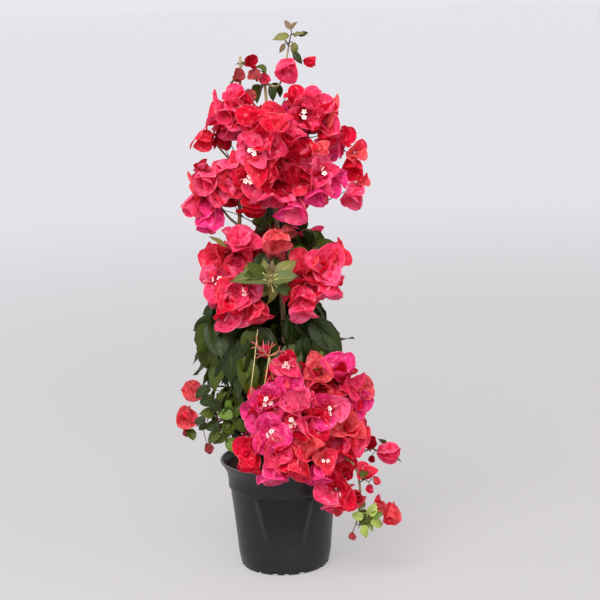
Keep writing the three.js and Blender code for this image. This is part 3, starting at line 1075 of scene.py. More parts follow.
sprays = {
    "bloom_centre": {"fill": 32, "inner": 12, "shown": [
        (-0.45, 0.77, "crimson", 0.95, "up"), (0.25, 0.63, "scarlet", 1.0, "up"),
        (-0.4, 0.17, "rose", 0.95, "face"), (0.15, 0.22, "pink", 1.1, "right"),
        (-0.15, -0.2, "scarlet", 1.0, "out"), (-0.55, -0.37, "crimson", 1.0, "face"),
        (0.55, -0.15, "dark", 1.0, "out"), (0.35, -0.45, "dark", 0.9, "out"),
        (0.05, -0.7, "rose", 1.1, "hang"), (0.5, -0.75, "pink", 1.0, "hang"),
        (-0.85, -0.1, "scarlet", 0.9, "left"), (0.7, 0.4, "crimson", 0.95, "up"),
        (-0.5, -0.9, "dark", 1.1, "hang"), (-0.15, 0.45, "crimson", 1.0, "out")]},
    "bloom_crown_right": {"shift": (-6, 0, -6), "fill": 18, "inner": 5, "shown": [
        (-0.5, 0.64, "crimson", 0.85, "up"), (0.05, 0.72, "pink", 0.6, "up"),
        (-0.85, -0.15, "magenta", 0.95, "left"), (-0.3, 0.05, "pink", 1.05, "face"),
        (-0.5, -0.6, "rose", 0.95, "hang"), (0.3, 0.25, "pink", 0.9, "up"),
        (0.45, -0.2, "crimson", 1.1, "right"), (0.55, -0.65, "crimson", 0.85, "hang")]},
    "bloom_left": {"shift": (4, 0, 6), "fill": 15, "inner": 5, "shown": [
        (0.45, 0.68, "pink", 1.05, "round"), (-0.3, 0.3, "rose", 1.1, "round"),
        (-0.75, -0.35, "pink", 1.1, "round"), (-0.2, -0.85, "magenta", 1.2, "round"),
        (0.5, 0.2, "scarlet", 1.0, "out"), (0.1, 0.0, "pink", 1.0, "out"),
        (-0.42, 0.72, "dark", 0.52, "up")]},
    "bloom_right": {"fill": 11, "inner": 4, "shown": [
        (-0.6, -0.1, "scarlet", 1.1, "out"), (-0.5, 0.75, "crimson", 0.8, "up"),
        (0.1, 0.7, "coral", 0.75, "up"), (0.15, 0.1, "pink", 0.9, "face"),
        (0.35, -0.3, "magenta", 1.0, "right"), (-0.1, -0.55, "magenta", 1.0, "hang"),
        (0.85, -0.1, "magenta", 0.65, "right")]},
    "bloom_upper_left": {"shift": (4, 0, -2), "fill": 5, "inner": 2, "shown": [
        (0.45, 0.62, "pink", 0.85, "up"), (0.0, 0.1, "pink", 1.0, "round"),
        (0.55, 0.0, "scarlet", 0.9, "out"), (0.3, -0.5, "rose", 1.0, "hang"),
        (0.75, 0.3, "crimson", 0.75, "face")]},
    "bloom_left_tip": {"shift": (-5, 0, 4), "fill": 2, "shown": [
        (-0.15, 0.05, "scarlet", 1.0, "round"), (0.8, 0.0, "dark", 0.8, "out")]},
    "bloom_right_tip": {"shift": (-4, 0, 0), "fill": 3, "inner": 1, "shown": [
        (-0.15, 0.83, "crimson", 0.8, "right"), (-0.65, 0.3, "magenta", 1.0, "left"),
        (0.35, 0.2, "coral", 0.75, "out"), (0.15, -0.45, "crimson", 0.95, "round")]},
    "bloom_right_drop": {"shift": (5, 0, 0), "shown": [
        (0.0, -0.15, "rose", 1.1, "round"), (0.5, 0.6, "coral", 0.55, "right")]},
    "bloom_hanging": {"shift": (-4, 0, 0), "shown": [(0.0, 0.05, "magenta", 1.1, "hang")]},
    "bloom_tip_left": {"fill": 2, "leaves": 3, "leafSize": 14, "shown": [
        (0.0, 0.78, "dark", 0.5, "right"), (-0.55, 0.1, "dusty", 0.55, "bud"),
        (0.2, 0.05, "dusty", 0.5, "bud"), (0.7, -0.15, "crimson", 0.45, "bud"),
        (-0.05, -1.1, "dusty", 0.5, "bud")]},
    "bloom_top": {"leaves": 1, "leafSize": 13, "shown": [
        (-0.4, 0.0, "pink", 0.95, "hang"), (0.7, 0.4, "crimson", 0.5, "budRight")]},
    "bloom_back_high": {"fill": 38, "inner": 10},
    "bloom_back_low": {"fill": 38, "inner": 10},
    "bloom_mid_centre": {"fill": 2, "shown": [
        (0.0, 0.0, "coral", 1.1, "hang"), (0.8, 0.5, "dusty", 0.6, "hang"),
        (-0.4, -0.95, "dusty", 0.4, "up"), (0.2, -1.05, "dusty", 0.35, "up")]},
    "bloom_mid_left": {"shift": (-3, 0, 0), "fill": 18, "inner": 5, "shown": [
        (0.5, 0.35, "pink", 1.15, "up"), (-0.5, -0.3, "scarlet", 1.2, "left"),
        (0.2, 0.5, "rose", 1.05, "up"), (0.3, -0.35, "scarlet", 1.05, "out"),
        (0.0, -0.8, "pink", 1.0, "face")]},
    "bloom_mid_left_low": {"shift": (-5, 0, 6), "fill": 15, "inner": 5, "shown": [
        (-0.6, 0.5, "pink", 1.1, "face"), (-0.15, 0.05, "scarlet", 1.1, "out"),
        (0.2, 0.15, "pink", 1.1, "face"), (0.6, 0.4, "rose", 1.0, "right"),
        (-0.3, -0.42, "crimson", 1.1, "hang"), (0.65, -0.58, "scarlet", 1.0, "hang")]},
    "bloom_mid_right": {"shift": (-8, 0, -5), "fill": 15, "inner": 5, "shown": [
        (-0.6, 0.45, "coral", 1.1, "up"), (0.2, 0.45, "pink", 1.25, "out"),
        (0.7, 0.7, "scarlet", 0.9, "right"), (0.3, -0.4, "rose", 1.15, "hang"),
        (-0.5, -0.4, "crimson", 1.0, "out")]},
    "bloom_mid_right_low": {"fill": 2, "shown": [
        (0.0, 0.3, "scarlet", 1.0, "hang"), (0.0, -0.4, "rose", 0.95, "hang"),
        (-0.9, 0.4, "coral", 0.6, "left")]},
    "bloom_mid_back": {"fill": 38, "inner": 8},
    "bloom_low_centre": {"fill": 1, "shown": [
        (0.0, 0.0, "crimson", 0.8, "face"), (-1.5, 0.9, "crimson", 0.55, "up"),
        (-1.0, -0.9, "dark", 0.6, "up")]},
    "bloom_foot_upper": {"fill": 11, "inner": 3, "shown": [
        (0.7, 0.7, "magenta", 1.0, "up"), (-0.15, 0.2, "magenta", 1.1, "face"),
        (-0.65, -0.3, "magenta", 1.1, "left"), (0.1, -0.5, "rose", 1.0, "out")]},
    "bloom_foot_centre": {"fill": 9, "inner": 3, "shown": [
        (-0.4, 0.6, "rose", 1.1, "up"), (-0.7, -0.15, "rose", 1.1, "face"),
        (0.8, 0.25, "magenta", 1.1, "face"), (-0.2, -0.8, "dark", 1.0, "out"),
        (0.25, -0.2, "crimson", 1.0, "out")]},
    "bloom_foot_right_upper": {"fill": 14, "inner": 3, "shown": [
        (-0.4, 0.55, "coral", 0.95, "out"), (-0.3, -0.3, "coral", 0.95, "out"),
        (0.45, 0.6, "magenta", 1.15, "up"), (0.75, -0.1, "pink", 1.0, "right"),
        (-0.7, 0.2, "crimson", 1.0, "left")]},
    "bloom_foot_right": {"fill": 8, "inner": 2, "shown": [
        (0.5, 0.65, "coral", 0.75, "right"), (0.15, 0.1, "magenta", 1.05, "right"),
        (-0.5, 0.3, "crimson", 1.0, "out"), (-0.1, -0.55, "scarlet", 1.0, "hang")]},
    "bloom_foot_right_low": {"fill": 9, "inner": 2, "shown": [
        (0.1, 0.5, "coral", 1.0, "out"), (-0.4, -0.2, "pink", 1.1, "out"),
        (0.45, 0.0, "scarlet", 1.0, "right"), (-0.8, -0.8, "coral", 0.7, "face"),
        (0.0, -0.6, "crimson", 1.0, "hang")]},
    "bloom_foot_front": {"fill": 2, "shown": [
        (-0.2, 0.45, "coral", 1.0, "up"), (-0.7, -0.3, "scarlet", 1.1, "hang"),
        (0.3, -0.55, "magenta", 1.0, "hang"), (0.7, 0.1, "coral", 0.7, "face")]},
    "bloom_foot_front_left": {"fill": 4, "shown": [
        (0.1, 0.7, "magenta", 1.1, "face"), (0.25, 0.15, "pink", 1.0, "out"),
        (-0.75, 0.25, "crimson", 1.0, "out"), (-0.75, -0.2, "crimson", 0.9, "hang"),
        (0.1, -0.6, "magenta", 1.2, "hang"), (0.6, -0.1, "crimson", 1.0, "out")]},
    "bloom_foot_back": {"fill": 48, "inner": 8},
    "bloom_twig_left_high": {"leaves": 1, "leafSize": 15, "shown": [(0.0, 0.0, "coral", 0.95, "budLeft")]},
    "bloom_twig_left_low": {"leaves": 1, "leafSize": 15, "shown": [
        (-0.1, 0.45, "coral", 0.95, "round"), (-0.15, -0.65, "dusty", 0.4, "bud"),
        (1.7, -1.8, "dusty", 0.45, "bud")]},
    "bloom_twig_right": {"leaves": 2, "leafSize": 13, "shown": [
        (-0.75, 0.6, "dark", 0.55, "up"), (0.2, 0.0, "rose", 0.95, "budRight"),
        (-0.65, -0.5, "dark", 0.3, "bud")]},
    "bloom_spray": {"fill": 1, "leaves": 2, "leafSize": 15, "shown": [
        (-0.3, 0.05, "crimson", 1.2, "face"), (-0.4, -0.5, "pink", 1.0, "hang"),
        (0.5, -0.35, "coral", 0.75, "out"), (0.2, 0.85, "dark", 0.75, "up"),
        (-0.25, -0.9, "coral", 0.45, "bud"), (0.45, -2.15, "dusty", 0.35, "bud"),
        (0.75, -0.25, "dark", 0.45, "bud")]},
    "bloom_spray_side": {"leaves": 1, "leafSize": 13, "shown": [
        (-0.1, 0.4, "scarlet", 0.7, "up"), (0.75, -0.25, "coral", 0.35, "bud"),
        (0.25, -0.95, "crimson", 0.35, "bud")]},
    "bloom_spray_tip": {"shown": [
        (0.25, -0.1, "coral", 0.95, "round"), (-0.6, 0.3, "coral", 0.7, "left")]},
}

behind = {  # sprays that fill the sides and the back: middle, half sizes, blooms on the skin and within
    "high_left": {"at": (-56, 30, 566), "half": (30, 34, 48), "fill": 18, "inner": 4},
    "high_right": {"at": (64, 34, 562), "half": (30, 32, 46), "fill": 18, "inner": 4},
    "side_right": {"at": (42, 10, 612), "half": (32, 26, 24), "fill": 14, "inner": 3},
    "side_right_low": {"at": (34, 6, 526), "half": (30, 24, 34), "fill": 16, "inner": 3},
    "side_left": {"at": (-52, 8, 528), "half": (32, 26, 30), "fill": 16, "inner": 3},
    "waist": {"at": (12, 46, 474), "half": (38, 32, 26), "fill": 14, "inner": 3},
    "middle_left": {"at": (-54, 34, 420), "half": (34, 36, 46), "fill": 18, "inner": 4},
    "middle_right": {"at": (54, 32, 418), "half": (30, 34, 42), "fill": 16, "inner": 4},
    "among_leaves": {"at": (4, 62, 318), "half": (58, 30, 40), "fill": 5},
    "foot_left": {"at": (-42, 46, 194), "half": (32, 34, 34), "fill": 16, "inner": 4},
    "foot_right": {"at": (84, 22, 196), "half": (34, 34, 36), "fill": 14, "inner": 3},
}

fillTints = ["pink", "pink", "crimson", "scarlet", "scarlet", "rose", "magenta", "coral"]
# blooms deep within a spray wear darker tints, the dark one partly as painted shade
innerTints = ["crimson", "dark", "crimson", "scarlet"]

greens = {  # the blade's skin, its veins and its edge
    "deep": ("26330c", "48582a", "161f09"),
    "mid": ("434f15", "6b7836", "2a350f"),
    "fresh": ("5f7828", "a0ae60", "40581a"),
    "olive": ("6d6c34", "bdb070", "5a4c28"),
    "sage": ("586234", "a8a468", "434f28"),
    "light": ("9fb156", "cdd693", "8a9a4a"),
    "bronze": ("6f5f40", "a08a62", "6e3436"),
}

youngKinds = ("bronze", "light", "olive", "sage")

leafing = {  # shown leaves: u, v, the turn they point to, length and kind
    "leaf_left": {"count": 26, "size": (50, 66), "kinds": ["deep", "deep", "mid"], "shown": [
        (-0.1, 0.7, 212, 38, "deep"), (0.1, 0.95, 200, 30, "deep"), (-0.3, 0.3, -97, 58, "mid"),
        (-0.15, 0.6, -76, 50, "deep"), (-0.3, 0.55, -118, 46, "mid"), (0.15, 0.4, -82, 50, "deep"),
        (0.35, 0.7, -75, 52, "deep"), (0.5, 0.2, -95, 58, "deep"), (0.15, 0.1, -99, 60, "mid")]},
    "leaf_right": {"shift": (-14, 0, -4), "count": 34, "size": (48, 68),
        "kinds": ["deep", "deep", "deep", "mid"], "shown": [
        (0.1, 0.75, -47, 56, "deep"), (0.62, 0.0, -100, 44, "fresh"), (-0.2, 0.3, -80, 60, "deep"),
        (-0.35, 0.85, -52, 50, "deep"), (0.25, 0.2, -88, 50, "deep"), (-0.6, 0.1, -92, 52, "mid"),
        (-0.08, 0.84, -51, 70, "deep")]},
    "leaf_centre": {"count": 20, "size": (44, 62), "kinds": ["deep", "deep", "mid"], "shown": [
        (0.0, 0.6, -88, 64, "deep"), (-0.5, 0.2, -70, 52, "mid")]},
    "leaf_back_left": {"count": 56, "size": (46, 66), "kinds": ["deep", "deep", "mid"]},
    "leaf_back_right": {"count": 56, "size": (46, 66), "kinds": ["deep", "deep", "mid"]},
    "leaf_mid_centre": {"count": 9, "size": (26, 38), "kinds": ["olive", "deep", "mid"], "shown": [
        (-0.1, -0.05, 166, 43, "sage"), (-0.2, 0.1, 136, 30, "mid"), (-0.05, 0.1, 112, 22, "olive"),
        (0.0, 0.25, 74, 17, "bronze"), (0.1, 0.05, 38, 36, "olive"), (0.1, -0.05, 12, 33, "sage"),
        (0.15, -0.15, -30, 24, "mid"), (0.05, -0.15, -84, 31, "olive"), (0.3, -0.25, -52, 18, "mid"),
        (-0.35, 0.2, 178, 22, "mid"), (-1.5, 1.3, 140, 26, "olive")]},
    "leaf_mid_right": {"shift": (-4, 0, -15), "count": 14, "size": (34, 46), "kinds": ["deep", "mid"],
        "round": True, "shown": [
        (-0.75, 0.35, -60, 36, "fresh"), (0.3, 0.55, -35, 42, "mid"), (-0.1, 0.1, -100, 34, "deep")]},
    "leaf_foot_left": {"count": 120, "size": (14, 25), "kinds": ["mid", "mid", "fresh", "deep", "deep"],
        "round": True, "shown": [
        (-0.75, 0.8, 200, 20, "deep"), (-0.6, 0.15, 170, 18, "mid"), (-0.45, -0.1, 205, 18, "deep"),
        (-0.4, -0.4, 215, 18, "mid"), (0.2, 0.1, 170, 21, "fresh"), (0.3, 0.0, -60, 22, "mid"),
        (0.25, 0.05, 60, 20, "mid"), (0.2, -0.1, -120, 20, "fresh"), (-0.05, -0.55, 190, 20, "mid"),
        (0.0, -0.5, 100, 20, "mid"), (0.05, -0.6, -70, 20, "fresh"), (-0.3, 0.3, 140, 20, "deep"),
        (-0.55, 0.55, 195, 20, "deep"), (0.1, -0.85, 20, 20, "mid"), (0.45, 0.35, 100, 20, "mid"),
        (-0.95, -0.1, 190, 15, "deep"), (-0.9, -0.2, 225, 14, "deep")]},
    "leaf_spray": {"count": 12, "size": (11, 17), "kinds": ["light", "light", "olive"], "round": True,
        "shown": [
        (0.2, 0.35, 60, 17, "light"), (0.3, -0.1, -20, 17, "light"), (0.05, -0.3, -105, 16, "light"),
        (-0.2, 0.2, 160, 15, "light"), (0.4, 0.3, 20, 14, "fresh"), (-0.3, 0.75, 100, 17, "olive")]},
    "shoot_tip": {"count": 3, "size": (8, 12), "kinds": ["bronze", "olive"], "shown": [
        (-0.05, 0.62, 120, 13, "bronze"), (0.05, 0.62, 60, 12, "bronze"), (0.2, 0.35, 5, 15, "olive"),
        (0.55, 0.3, 20, 12, "deep"), (-0.2, 0.3, 185, 20, "olive"), (0.1, -0.05, -75, 19, "olive"),
        (-0.5, -0.1, -120, 12, "bronze"), (0.2, -0.5, -60, 17, "deep"), (-1.42, -2.0, -95, 21, "deep")]},
}

leavesBehind = {  # leaves that fill the far side between the sprays
    "waist": {"at": (8, 40, 474), "half": (42, 34, 30), "count": 24, "size": (26, 40),
        "kinds": ["mid", "deep"], "round": True},
    "seam": {"at": (0, 46, 364), "half": (66, 40, 24), "count": 34, "size": (28, 44),
        "kinds": ["mid", "deep", "deep"], "round": True},
    "hem": {"at": (-2, 52, 246), "half": (62, 36, 22), "count": 22, "size": (26, 40),
        "kinds": ["mid", "fresh"]},
    "foot": {"at": (22, 36, 166), "half": (58, 42, 20), "count": 54, "size": (16, 26),
        "kinds": ["mid", "fresh", "deep"], "round": True},
}

gaps = [  # where the crown is open from front to back: x, z and half sizes, in millimetres
    (52, 582, 15, 9),
    (-58, 570, 14, 13),
    (-50, 483, 22, 13),
    (79, 551, 10, 10),
    (88, 526, 7, 7),
    (-72, 457, 18, 12),
    (-33, 636, 10, 16),
    (12, 633, 12, 12),
    (68, 477, 28, 13),
    (82, 446, 16, 14),
    (94, 350, 20, 22),
    (80, 370, 16, 10),
    (62, 366, 13, 9),
    (78, 636, 12, 11),
    (98, 284, 12, 12),
    (124, 200, 12, 14),
    (-80, 203, 4, 4),
    (-68, 190, 4, 3),
    (-91, 222, 4, 4),
    (-98, 186, 9, 9),
]


class Foliage:
    # where each bract, floret and leaf stands, kept until the joined meshes are built
    def __init__(self):
        self.bracts = {tint: [] for tint in tints}
        self.leaves = {kind: [] for kind in greens}
        self.stars, self.tubes = [], []

    def addBloom(self, base, way, openness, size, tint, rng, florets):
        way = unit(way)
        first = unit(np.cross(way, rng.normal(size=3)))
        second = np.cross(way, first)
        spin = rng.uniform(0, 2 * math.pi)
        nearest = int(np.argmin([abs(openness - value) for value in openings.values()]))
        for k in range(3):
            turn = spin + k * 2 * math.pi / 3 + rng.normal(0, 0.15)
            out = math.cos(turn) * first + math.sin(turn) * second
            lean = math.radians(bract["lean"] + bract["opening"] * openness + rng.normal(0, 5))
            along = math.cos(lean) * way + math.sin(lean) * out
            facing = math.sin(lean) * way - math.cos(lean) * out + rng.normal(0, 0.12, 3)
            form = nearest * bract["forms"] + int(rng.integers(bract["forms"]))
            place = base + out * 1.6 * size
            worn = neighbours.get(tint, tint) if rng.random() < bract["strayTint"] else tint
            self.bracts[worn].append((form, axesAlong(along, facing), place, size * rng.uniform(0.92, 1.08)))
        for k in range(florets):
            self.addFloret(base, way, first, second, k, size, rng)

    def addFloret(self, base, way, first, second, k, size, rng):
        # white faces stand close together in the throat
        turn = k * 2.1 + rng.uniform(0, 0.6)
        out = math.cos(turn) * first + math.sin(turn) * second
        along = unit(way + out * rng.uniform(0.16, 0.24))
        length = rng.uniform(*floret["length"]) * size
        turns = axesAlong(rng.normal(size=3), along)
        self.tubes.append((turns, base, length))
        wide = rng.uniform(*floret["size"]) * min(size, 1.0)
        self.stars.append((turns, base + along * (length * 0.97), wide))

    def addLeaf(self, base, along, facing, length, kind, rng, rounded):
        form = int(rng.integers(leaf["forms"])) + (leaf["forms"] if rounded else 0)
        self.leaves[kind].append((form, axesAlong(along, facing), base, length))


neighbours = {"magenta": "rose", "rose": "pink", "pink": "rose", "crimson": "pink", "scarlet": "pink",
              "coral": "scarlet"}
foliage = Foliage()
cadLow, cadHigh = (np.array(corner) / mm for corner in cadBox)


def keptIn(place, reach):
    # a bloom's or leaf's middle, moved back where its edge would stand out of the solid model's box
    spare = growth["spare"]
    return np.clip(place, cadLow + reach - spare, cadHigh - reach + spare)


def seedOf(name):
    return growth["seed"] + sum(ord(letter) * (i + 1) for i, letter in enumerate(name))


def evenPoints(number, rng):
    # points spread evenly over a ball's skin
    i = np.arange(number) + 0.5
    height = 1 - 2 * i / max(number, 1)
    turn = i * math.pi * (3 - math.sqrt(5)) + rng.uniform(0, 6.3)
    flat = np.sqrt(1 - height**2)
    points = np.stack([flat * np.cos(turn), flat * np.sin(turn), height], axis=1)
    return points + rng.normal(0, 0.12, points.shape)


def inGap(place, reach):
    # the gaps run from front to back along the slope that the plant is seen on
    level = place[2] + place[1] * math.tan(math.radians(view["down"]))
    return any(math.hypot((place[0] - x) / (wide + reach), (level - z) / (tall + reach)) < 1
               for x, z, wide, tall in gaps)


def roomOf(name, recipe):
    # the middle and half sizes of the room that a spray fills
    middle, half = (recipe["at"], recipe["half"]) if "at" in recipe else boxOf(name)
    return np.array(middle) + recipe.get("shift", (0, 0, 0)), np.array(half)


filling = {
    "inset": 15,  # how far within its room a spray keeps its blooms' middles
    "insetShare": 0.45,
    "apart": 19,
    "gapMargin": 14,  # how far they stay from a gap, and how far where no bloom is shown
    "gapMarginBehind": 19,
    "behindShown": 8,  # they stand back from the blooms that are shown
    "floretShare": 0.3,
    "floretOpening": 0.62,
    "opening": (0.15, 0.7),
    "size": (0.9, 1.12),
    "leafReach": 0.62,
    "leafSize": 26,
    "leafScale": (0.85, 1.25),
}


def frontOf(u, v):
    return math.sqrt(max(0.1, 1 - u * u - v * v))


def setBlooms(name, recipe):
    rng = np.random.default_rng(seedOf(name))
    middle, half = roomOf(name, recipe)
    inset = np.minimum(half * filling["insetShare"], filling["inset"])
    number, isShown = recipe.get("fill", 0), "shown" in recipe
    margin = filling["gapMargin"] if isShown else filling["gapMarginBehind"]
    blooms = []
    for u, v, tint, size, pose in recipe.get("shown", []):
        front = frontOf(u, v)
        spot = np.array([u, -front, v])
        way, openness = poses[pose]
        way = unit(spot * (1, 0.7, 1) + (0, -0.5, 0)) if way is None else unit(way) + 0.25 * spot
        place = middle + np.array([u * half[0], -front * (half - inset)[1], v * half[2]])
        florets = int(rng.integers(2, 4)) if pose == "face" else 0
        blooms.append((place, way, openness, size, tint, florets))
    for spot in evenPoints(number, rng):
        place = middle + (half - inset) * spot
        isClose = any(np.linalg.norm(place - other[0]) < filling["apart"] for other in blooms)
        if isClose or inGap(place, margin):
            continue
        if isShown and spot[1] < -0.25 and abs(spot[0]) < 0.8:
            place = place + (0, filling["behindShown"], 0)
        way = unit(spot / half * half.mean()) + rng.normal(0, 0.3, 3) + (0, 0, -0.1)
        tint = fillTints[int(rng.integers(len(fillTints)))]
        florets = int(rng.integers(2, 4)) if rng.random() < filling["floretShare"] else 0
        openness = filling["floretOpening"] if florets else rng.uniform(*filling["opening"])
        blooms.append((place, way, openness, rng.uniform(*filling["size"]), tint, florets))
    for spot in evenPoints(recipe.get("inner", 0), rng):
        place = middle + half * spot * 0.4
        if inGap(place, 12):
            continue
        tint = innerTints[int(rng.integers(len(innerTints)))]
        blooms.append((place, unit(spot) + rng.normal(0, 0.4, 3), rng.uniform(0.3, 0.9), 0.95, tint, 0))
    blooms.sort(key=lambda bloom: np.abs(bloom[0][0]) - bloom[0][1] * 0.2)
    for place, way, openness, size, tint, florets in blooms:
        way = unit(way)
        place = keptIn(place, bract["reach"] * size)
        base = place - way * bract["length"] * size * bract["foot"]
        wood.grow(base, way)
        foliage.addBloom(base, way, openness, size, tint, rng, florets)
    for _ in range(recipe.get("leaves", number // 10)):
        spot = unit(rng.normal(size=3))
        if isShown and number > 5:
            spot[1] = abs(spot[1])
        base = middle + half * spot * filling["leafReach"]
        if inGap(base, 10):
            continue
        out = unit(spot * (1, 1, 0.3))
        wood.grow(base, out)
        kind = "mid" if rng.random() < 0.6 else "olive"
        length = recipe.get("leafSize", filling["leafSize"]) * rng.uniform(*filling["leafScale"])
        foliage.addLeaf(base, out + (0, 0, -0.5), out * 0.5 + (0, -0.2, 0.7), length, kind, rng, True)


hanging = {
    "shownDepth": 0.85,  # where shown leaves start, as a share of the way from the middle to the front
    "shownTowards": (-0.7, 0.2),
    "shownTurn": 0.36,
    "depth": (0.5, 1.0),  # how near the others are to the skin of their room
    "inset": 9,
    "insetShare": 0.4,
    "scatter": 10,
    "droop": 0.8,
    "foot": 0.45,  # a leaf's foot lies this share of its length behind its middle
    "slack": (-12, 8),  # how far a tip may pass the room's edge
    "gapShare": 0.3,
}


def setLeaves(name, recipe):
    rng = np.random.default_rng(seedOf(name))
    middle, half = roomOf(name, recipe)
    rounded = recipe.get("round", False)
    for u, v, turn, length, kind in recipe.get("shown", []):
        base = middle + half * (u, -frontOf(u, v) * hanging["shownDepth"], v)
        turn = math.radians(turn)
        along = unit((math.cos(turn), rng.uniform(*hanging["shownTowards"]), math.sin(turn)))
        facing = unit(np.array([0, -1, 0.45]) + rng.normal(0, hanging["shownTurn"], 3))
        wood.grow(base, along)
        foliage.addLeaf(base, along, facing, length, kind, rng, rounded)
    spots = evenPoints(recipe["count"], rng)
    depth = rng.uniform(*hanging["depth"], len(spots))
    inset = np.minimum(half * hanging["insetShare"], hanging["inset"])
    foot = hanging["foot"]
    for spot, deep in sorted(zip(spots, depth), key=lambda pair: pair[1]):
        centre = middle + (half - inset) * spot * deep
        out = unit(centre * (1, 1, 0) + (20, 0, 0) + rng.normal(0, hanging["scatter"], 3) * (1, 1, 0))
        length = rng.uniform(*recipe["size"])
        centre = keptIn(centre, length * foot)
        along = unit(out * 0.45 + (0, 0, -hanging["droop"]) + rng.normal(0, 0.3, 3))
        facing = unit(out + (0, 0, 0.4) + rng.normal(0, 0.2, 3))
        tip = centre + along * length * (1 - foot)
        slack = rng.uniform(*hanging["slack"], 3)
        centre = centre - (tip - np.clip(tip, middle - half - slack, middle + half + slack))
        if inGap(centre, length * hanging["gapShare"]):
            continue
        base = centre - along * length * foot
        wood.grow(base, along + out * 0.5)
        kind = recipe["kinds"][int(rng.integers(len(recipe["kinds"])))]
        foliage.addLeaf(base, along, facing, length, kind, rng, rounded)


stemLeaves = {
    "stems": ["stem_right", "stem_left", "stem_back"],
    "every": 17,
    "levels": (330, 655),
    "stand": (5, 12),  # how far a leaf's foot stands from the stem
    "size": (20, 34),
    "kinds": ["mid", "deep", "fresh"],
    "bias": 0.5,  # how far they turn to the far side
    "seed": 77,
}


def clotheStems():
    # leaves at the nodes of the main stems, most of them on the far side
    rng = np.random.default_rng(stemLeaves["seed"])
    low, high = stemLeaves["levels"]
    for name in stemLeaves["stems"]:
        line = smoothRoute(limbs[name]["through"], 60)
        last = line[0]
        for place in line:
            if np.linalg.norm(place - last) < stemLeaves["every"] or not low < place[2] < high:
                continue
            last = place
            for side in (-1, 1):
                out = unit((side * rng.uniform(0.4, 1), rng.uniform(-0.3, 1) + stemLeaves["bias"], 0))
                base = place + out * rng.uniform(*stemLeaves["stand"])
                if inGap(base, 12):
                    continue
                along = unit(out + (0, 0, rng.uniform(-0.9, 0.1)))
                wood.grow(base, along)
                kind = stemLeaves["kinds"][int(rng.integers(len(stemLeaves["kinds"])))]
                length = rng.uniform(*stemLeaves["size"])
                foliage.addLeaf(base, along, out * 0.4 + (0, 0, 0.9), length, kind, rng, True)


for name, recipe in {**sprays, **behind}.items():
    setBlooms(name, recipe)
for name, recipe in {**leafing, **leavesBehind}.items():
    setLeaves(name, recipe)
clotheStems()
print("the plant is grown:", sum(map(len, foliage.bracts.values())), "bracts,",
      sum(map(len, foliage.leaves.values())), "leaves,", len(wood.twigs), "twigs")


# twigs that show bare where the crown is open

bareTwigs = {
    "routes": [
        [[24, -8, 572], [42, -12, 582], [58, -12, 586], [72, -8, 592]],
        [[42, -12, 582], [52, -14, 596], [58, -12, 606]],
        [[-16, -10, 466], [-42, -16, 482], [-60, -18, 490], [-78, -20, 494]],
        [[-42, -16, 482], [-52, -18, 496], [-56, -18, 508]],
        [[-48, -8, 548], [-58, -14, 562], [-66, -14, 576], [-76, -12, 580]],
        [[-44, -4, 556], [-54, -10, 574], [-56, -12, 588]],
        [[-20, -6, 610], [-36, -10, 626], [-52, -14, 634]],
        [[-6, -4, 604], [8, -8, 618], [16, -10, 634], [24, -12, 644]],
        [[60, -14, 540], [72, -14, 552], [82, -12, 562]],
        [[66, -12, 500], [80, -12, 506], [92, -10, 512]],
    ],
    "radii": (0.85, 0.45),
    "tones": ("33211d", "46302a"),
}


def makeBareTwigs():
    heap = Heap()
    for route in bareTwigs["routes"]:
        heap.add(rod(route, 6, *bareTwigs["radii"], 6))
    return heap


# young shoots rise from the trunk through the leaves, and one ends in spent flower stalks

youngWood = {
    "routes": [
        [[-14, -3, 186], [-26, -30, 212], [-25, -62, 242], [-18, -70, 276], [-13, -66, 305]],
        [[-18, -4, 188], [-34, -34, 222], [-38, -64, 256], [-32, -68, 300], [-27, -50, 338]],
        [[-8, -4, 186], [-12, -36, 230], [-9, -62, 270], [-13, -66, 303]],
    ],
    "radii": (1.1, 0.6),
    "tones": ("8f814a", "c6b87c"),
    "spent": 13,  # stalks whose flowers have dropped
    "spentLength": (16, 36),
    "spentFan": (-10, 200),  # the turn of the first stalk, and how far they spread, in degrees
    "spentBow": 0.12,
    "spentRadii": [0.62, 0.5, 0.42, 0.42, 0.5, 0.75, 0.45],
    "spentTones": ("b98a5c", "c04a60"),
    "hub": (-8, -79, 408),  # pale leaf stalks meet here
    "stalks": 12,
    "stalkLength": (6, 17),
    "stalkRadii": [0.55, 0.5, 0.5, 0.8],
    "seed": 8,
}


def makeYoungWood():
    rng = np.random.default_rng(youngWood["seed"])
    shoots, spent = Heap(), Heap()
    for route in youngWood["routes"]:
        shoots.add(rod(route, 8, *youngWood["radii"], 7))
    hub = np.array(youngWood["routes"][0][-1], float)
    first, fan = youngWood["spentFan"]
    for i in range(youngWood["spent"]):
        turn = math.radians(fan * (i + 0.5) / youngWood["spent"] + first)
        way = unit((math.cos(turn), rng.uniform(-0.6, 0.3), math.sin(turn)))
        reach = rng.uniform(*youngWood["spentLength"])
        bow = rng.normal(0, youngWood["spentBow"], 3) * reach
        line = [hub + way * reach * t + bow * math.sin(math.pi * t) for t in np.linspace(0, 1, 7)]
        spent.add(tube(line, youngWood["spentRadii"], 5))
    hub = np.array(youngWood["hub"], float)
    for i in range(youngWood["stalks"]):
        turn = 2 * math.pi * (i + rng.uniform(0.2, 0.8)) / youngWood["stalks"]
        way = unit((math.cos(turn), rng.uniform(-0.9, -0.1), math.sin(turn)))
        reach = rng.uniform(*youngWood["stalkLength"])
        line = [hub + way * reach * t for t in np.linspace(0, 1, 4)]
        shoots.add(tube(line, youngWood["stalkRadii"], 5))
    return shoots, spent


# skins of bracts, leaves and the small parts

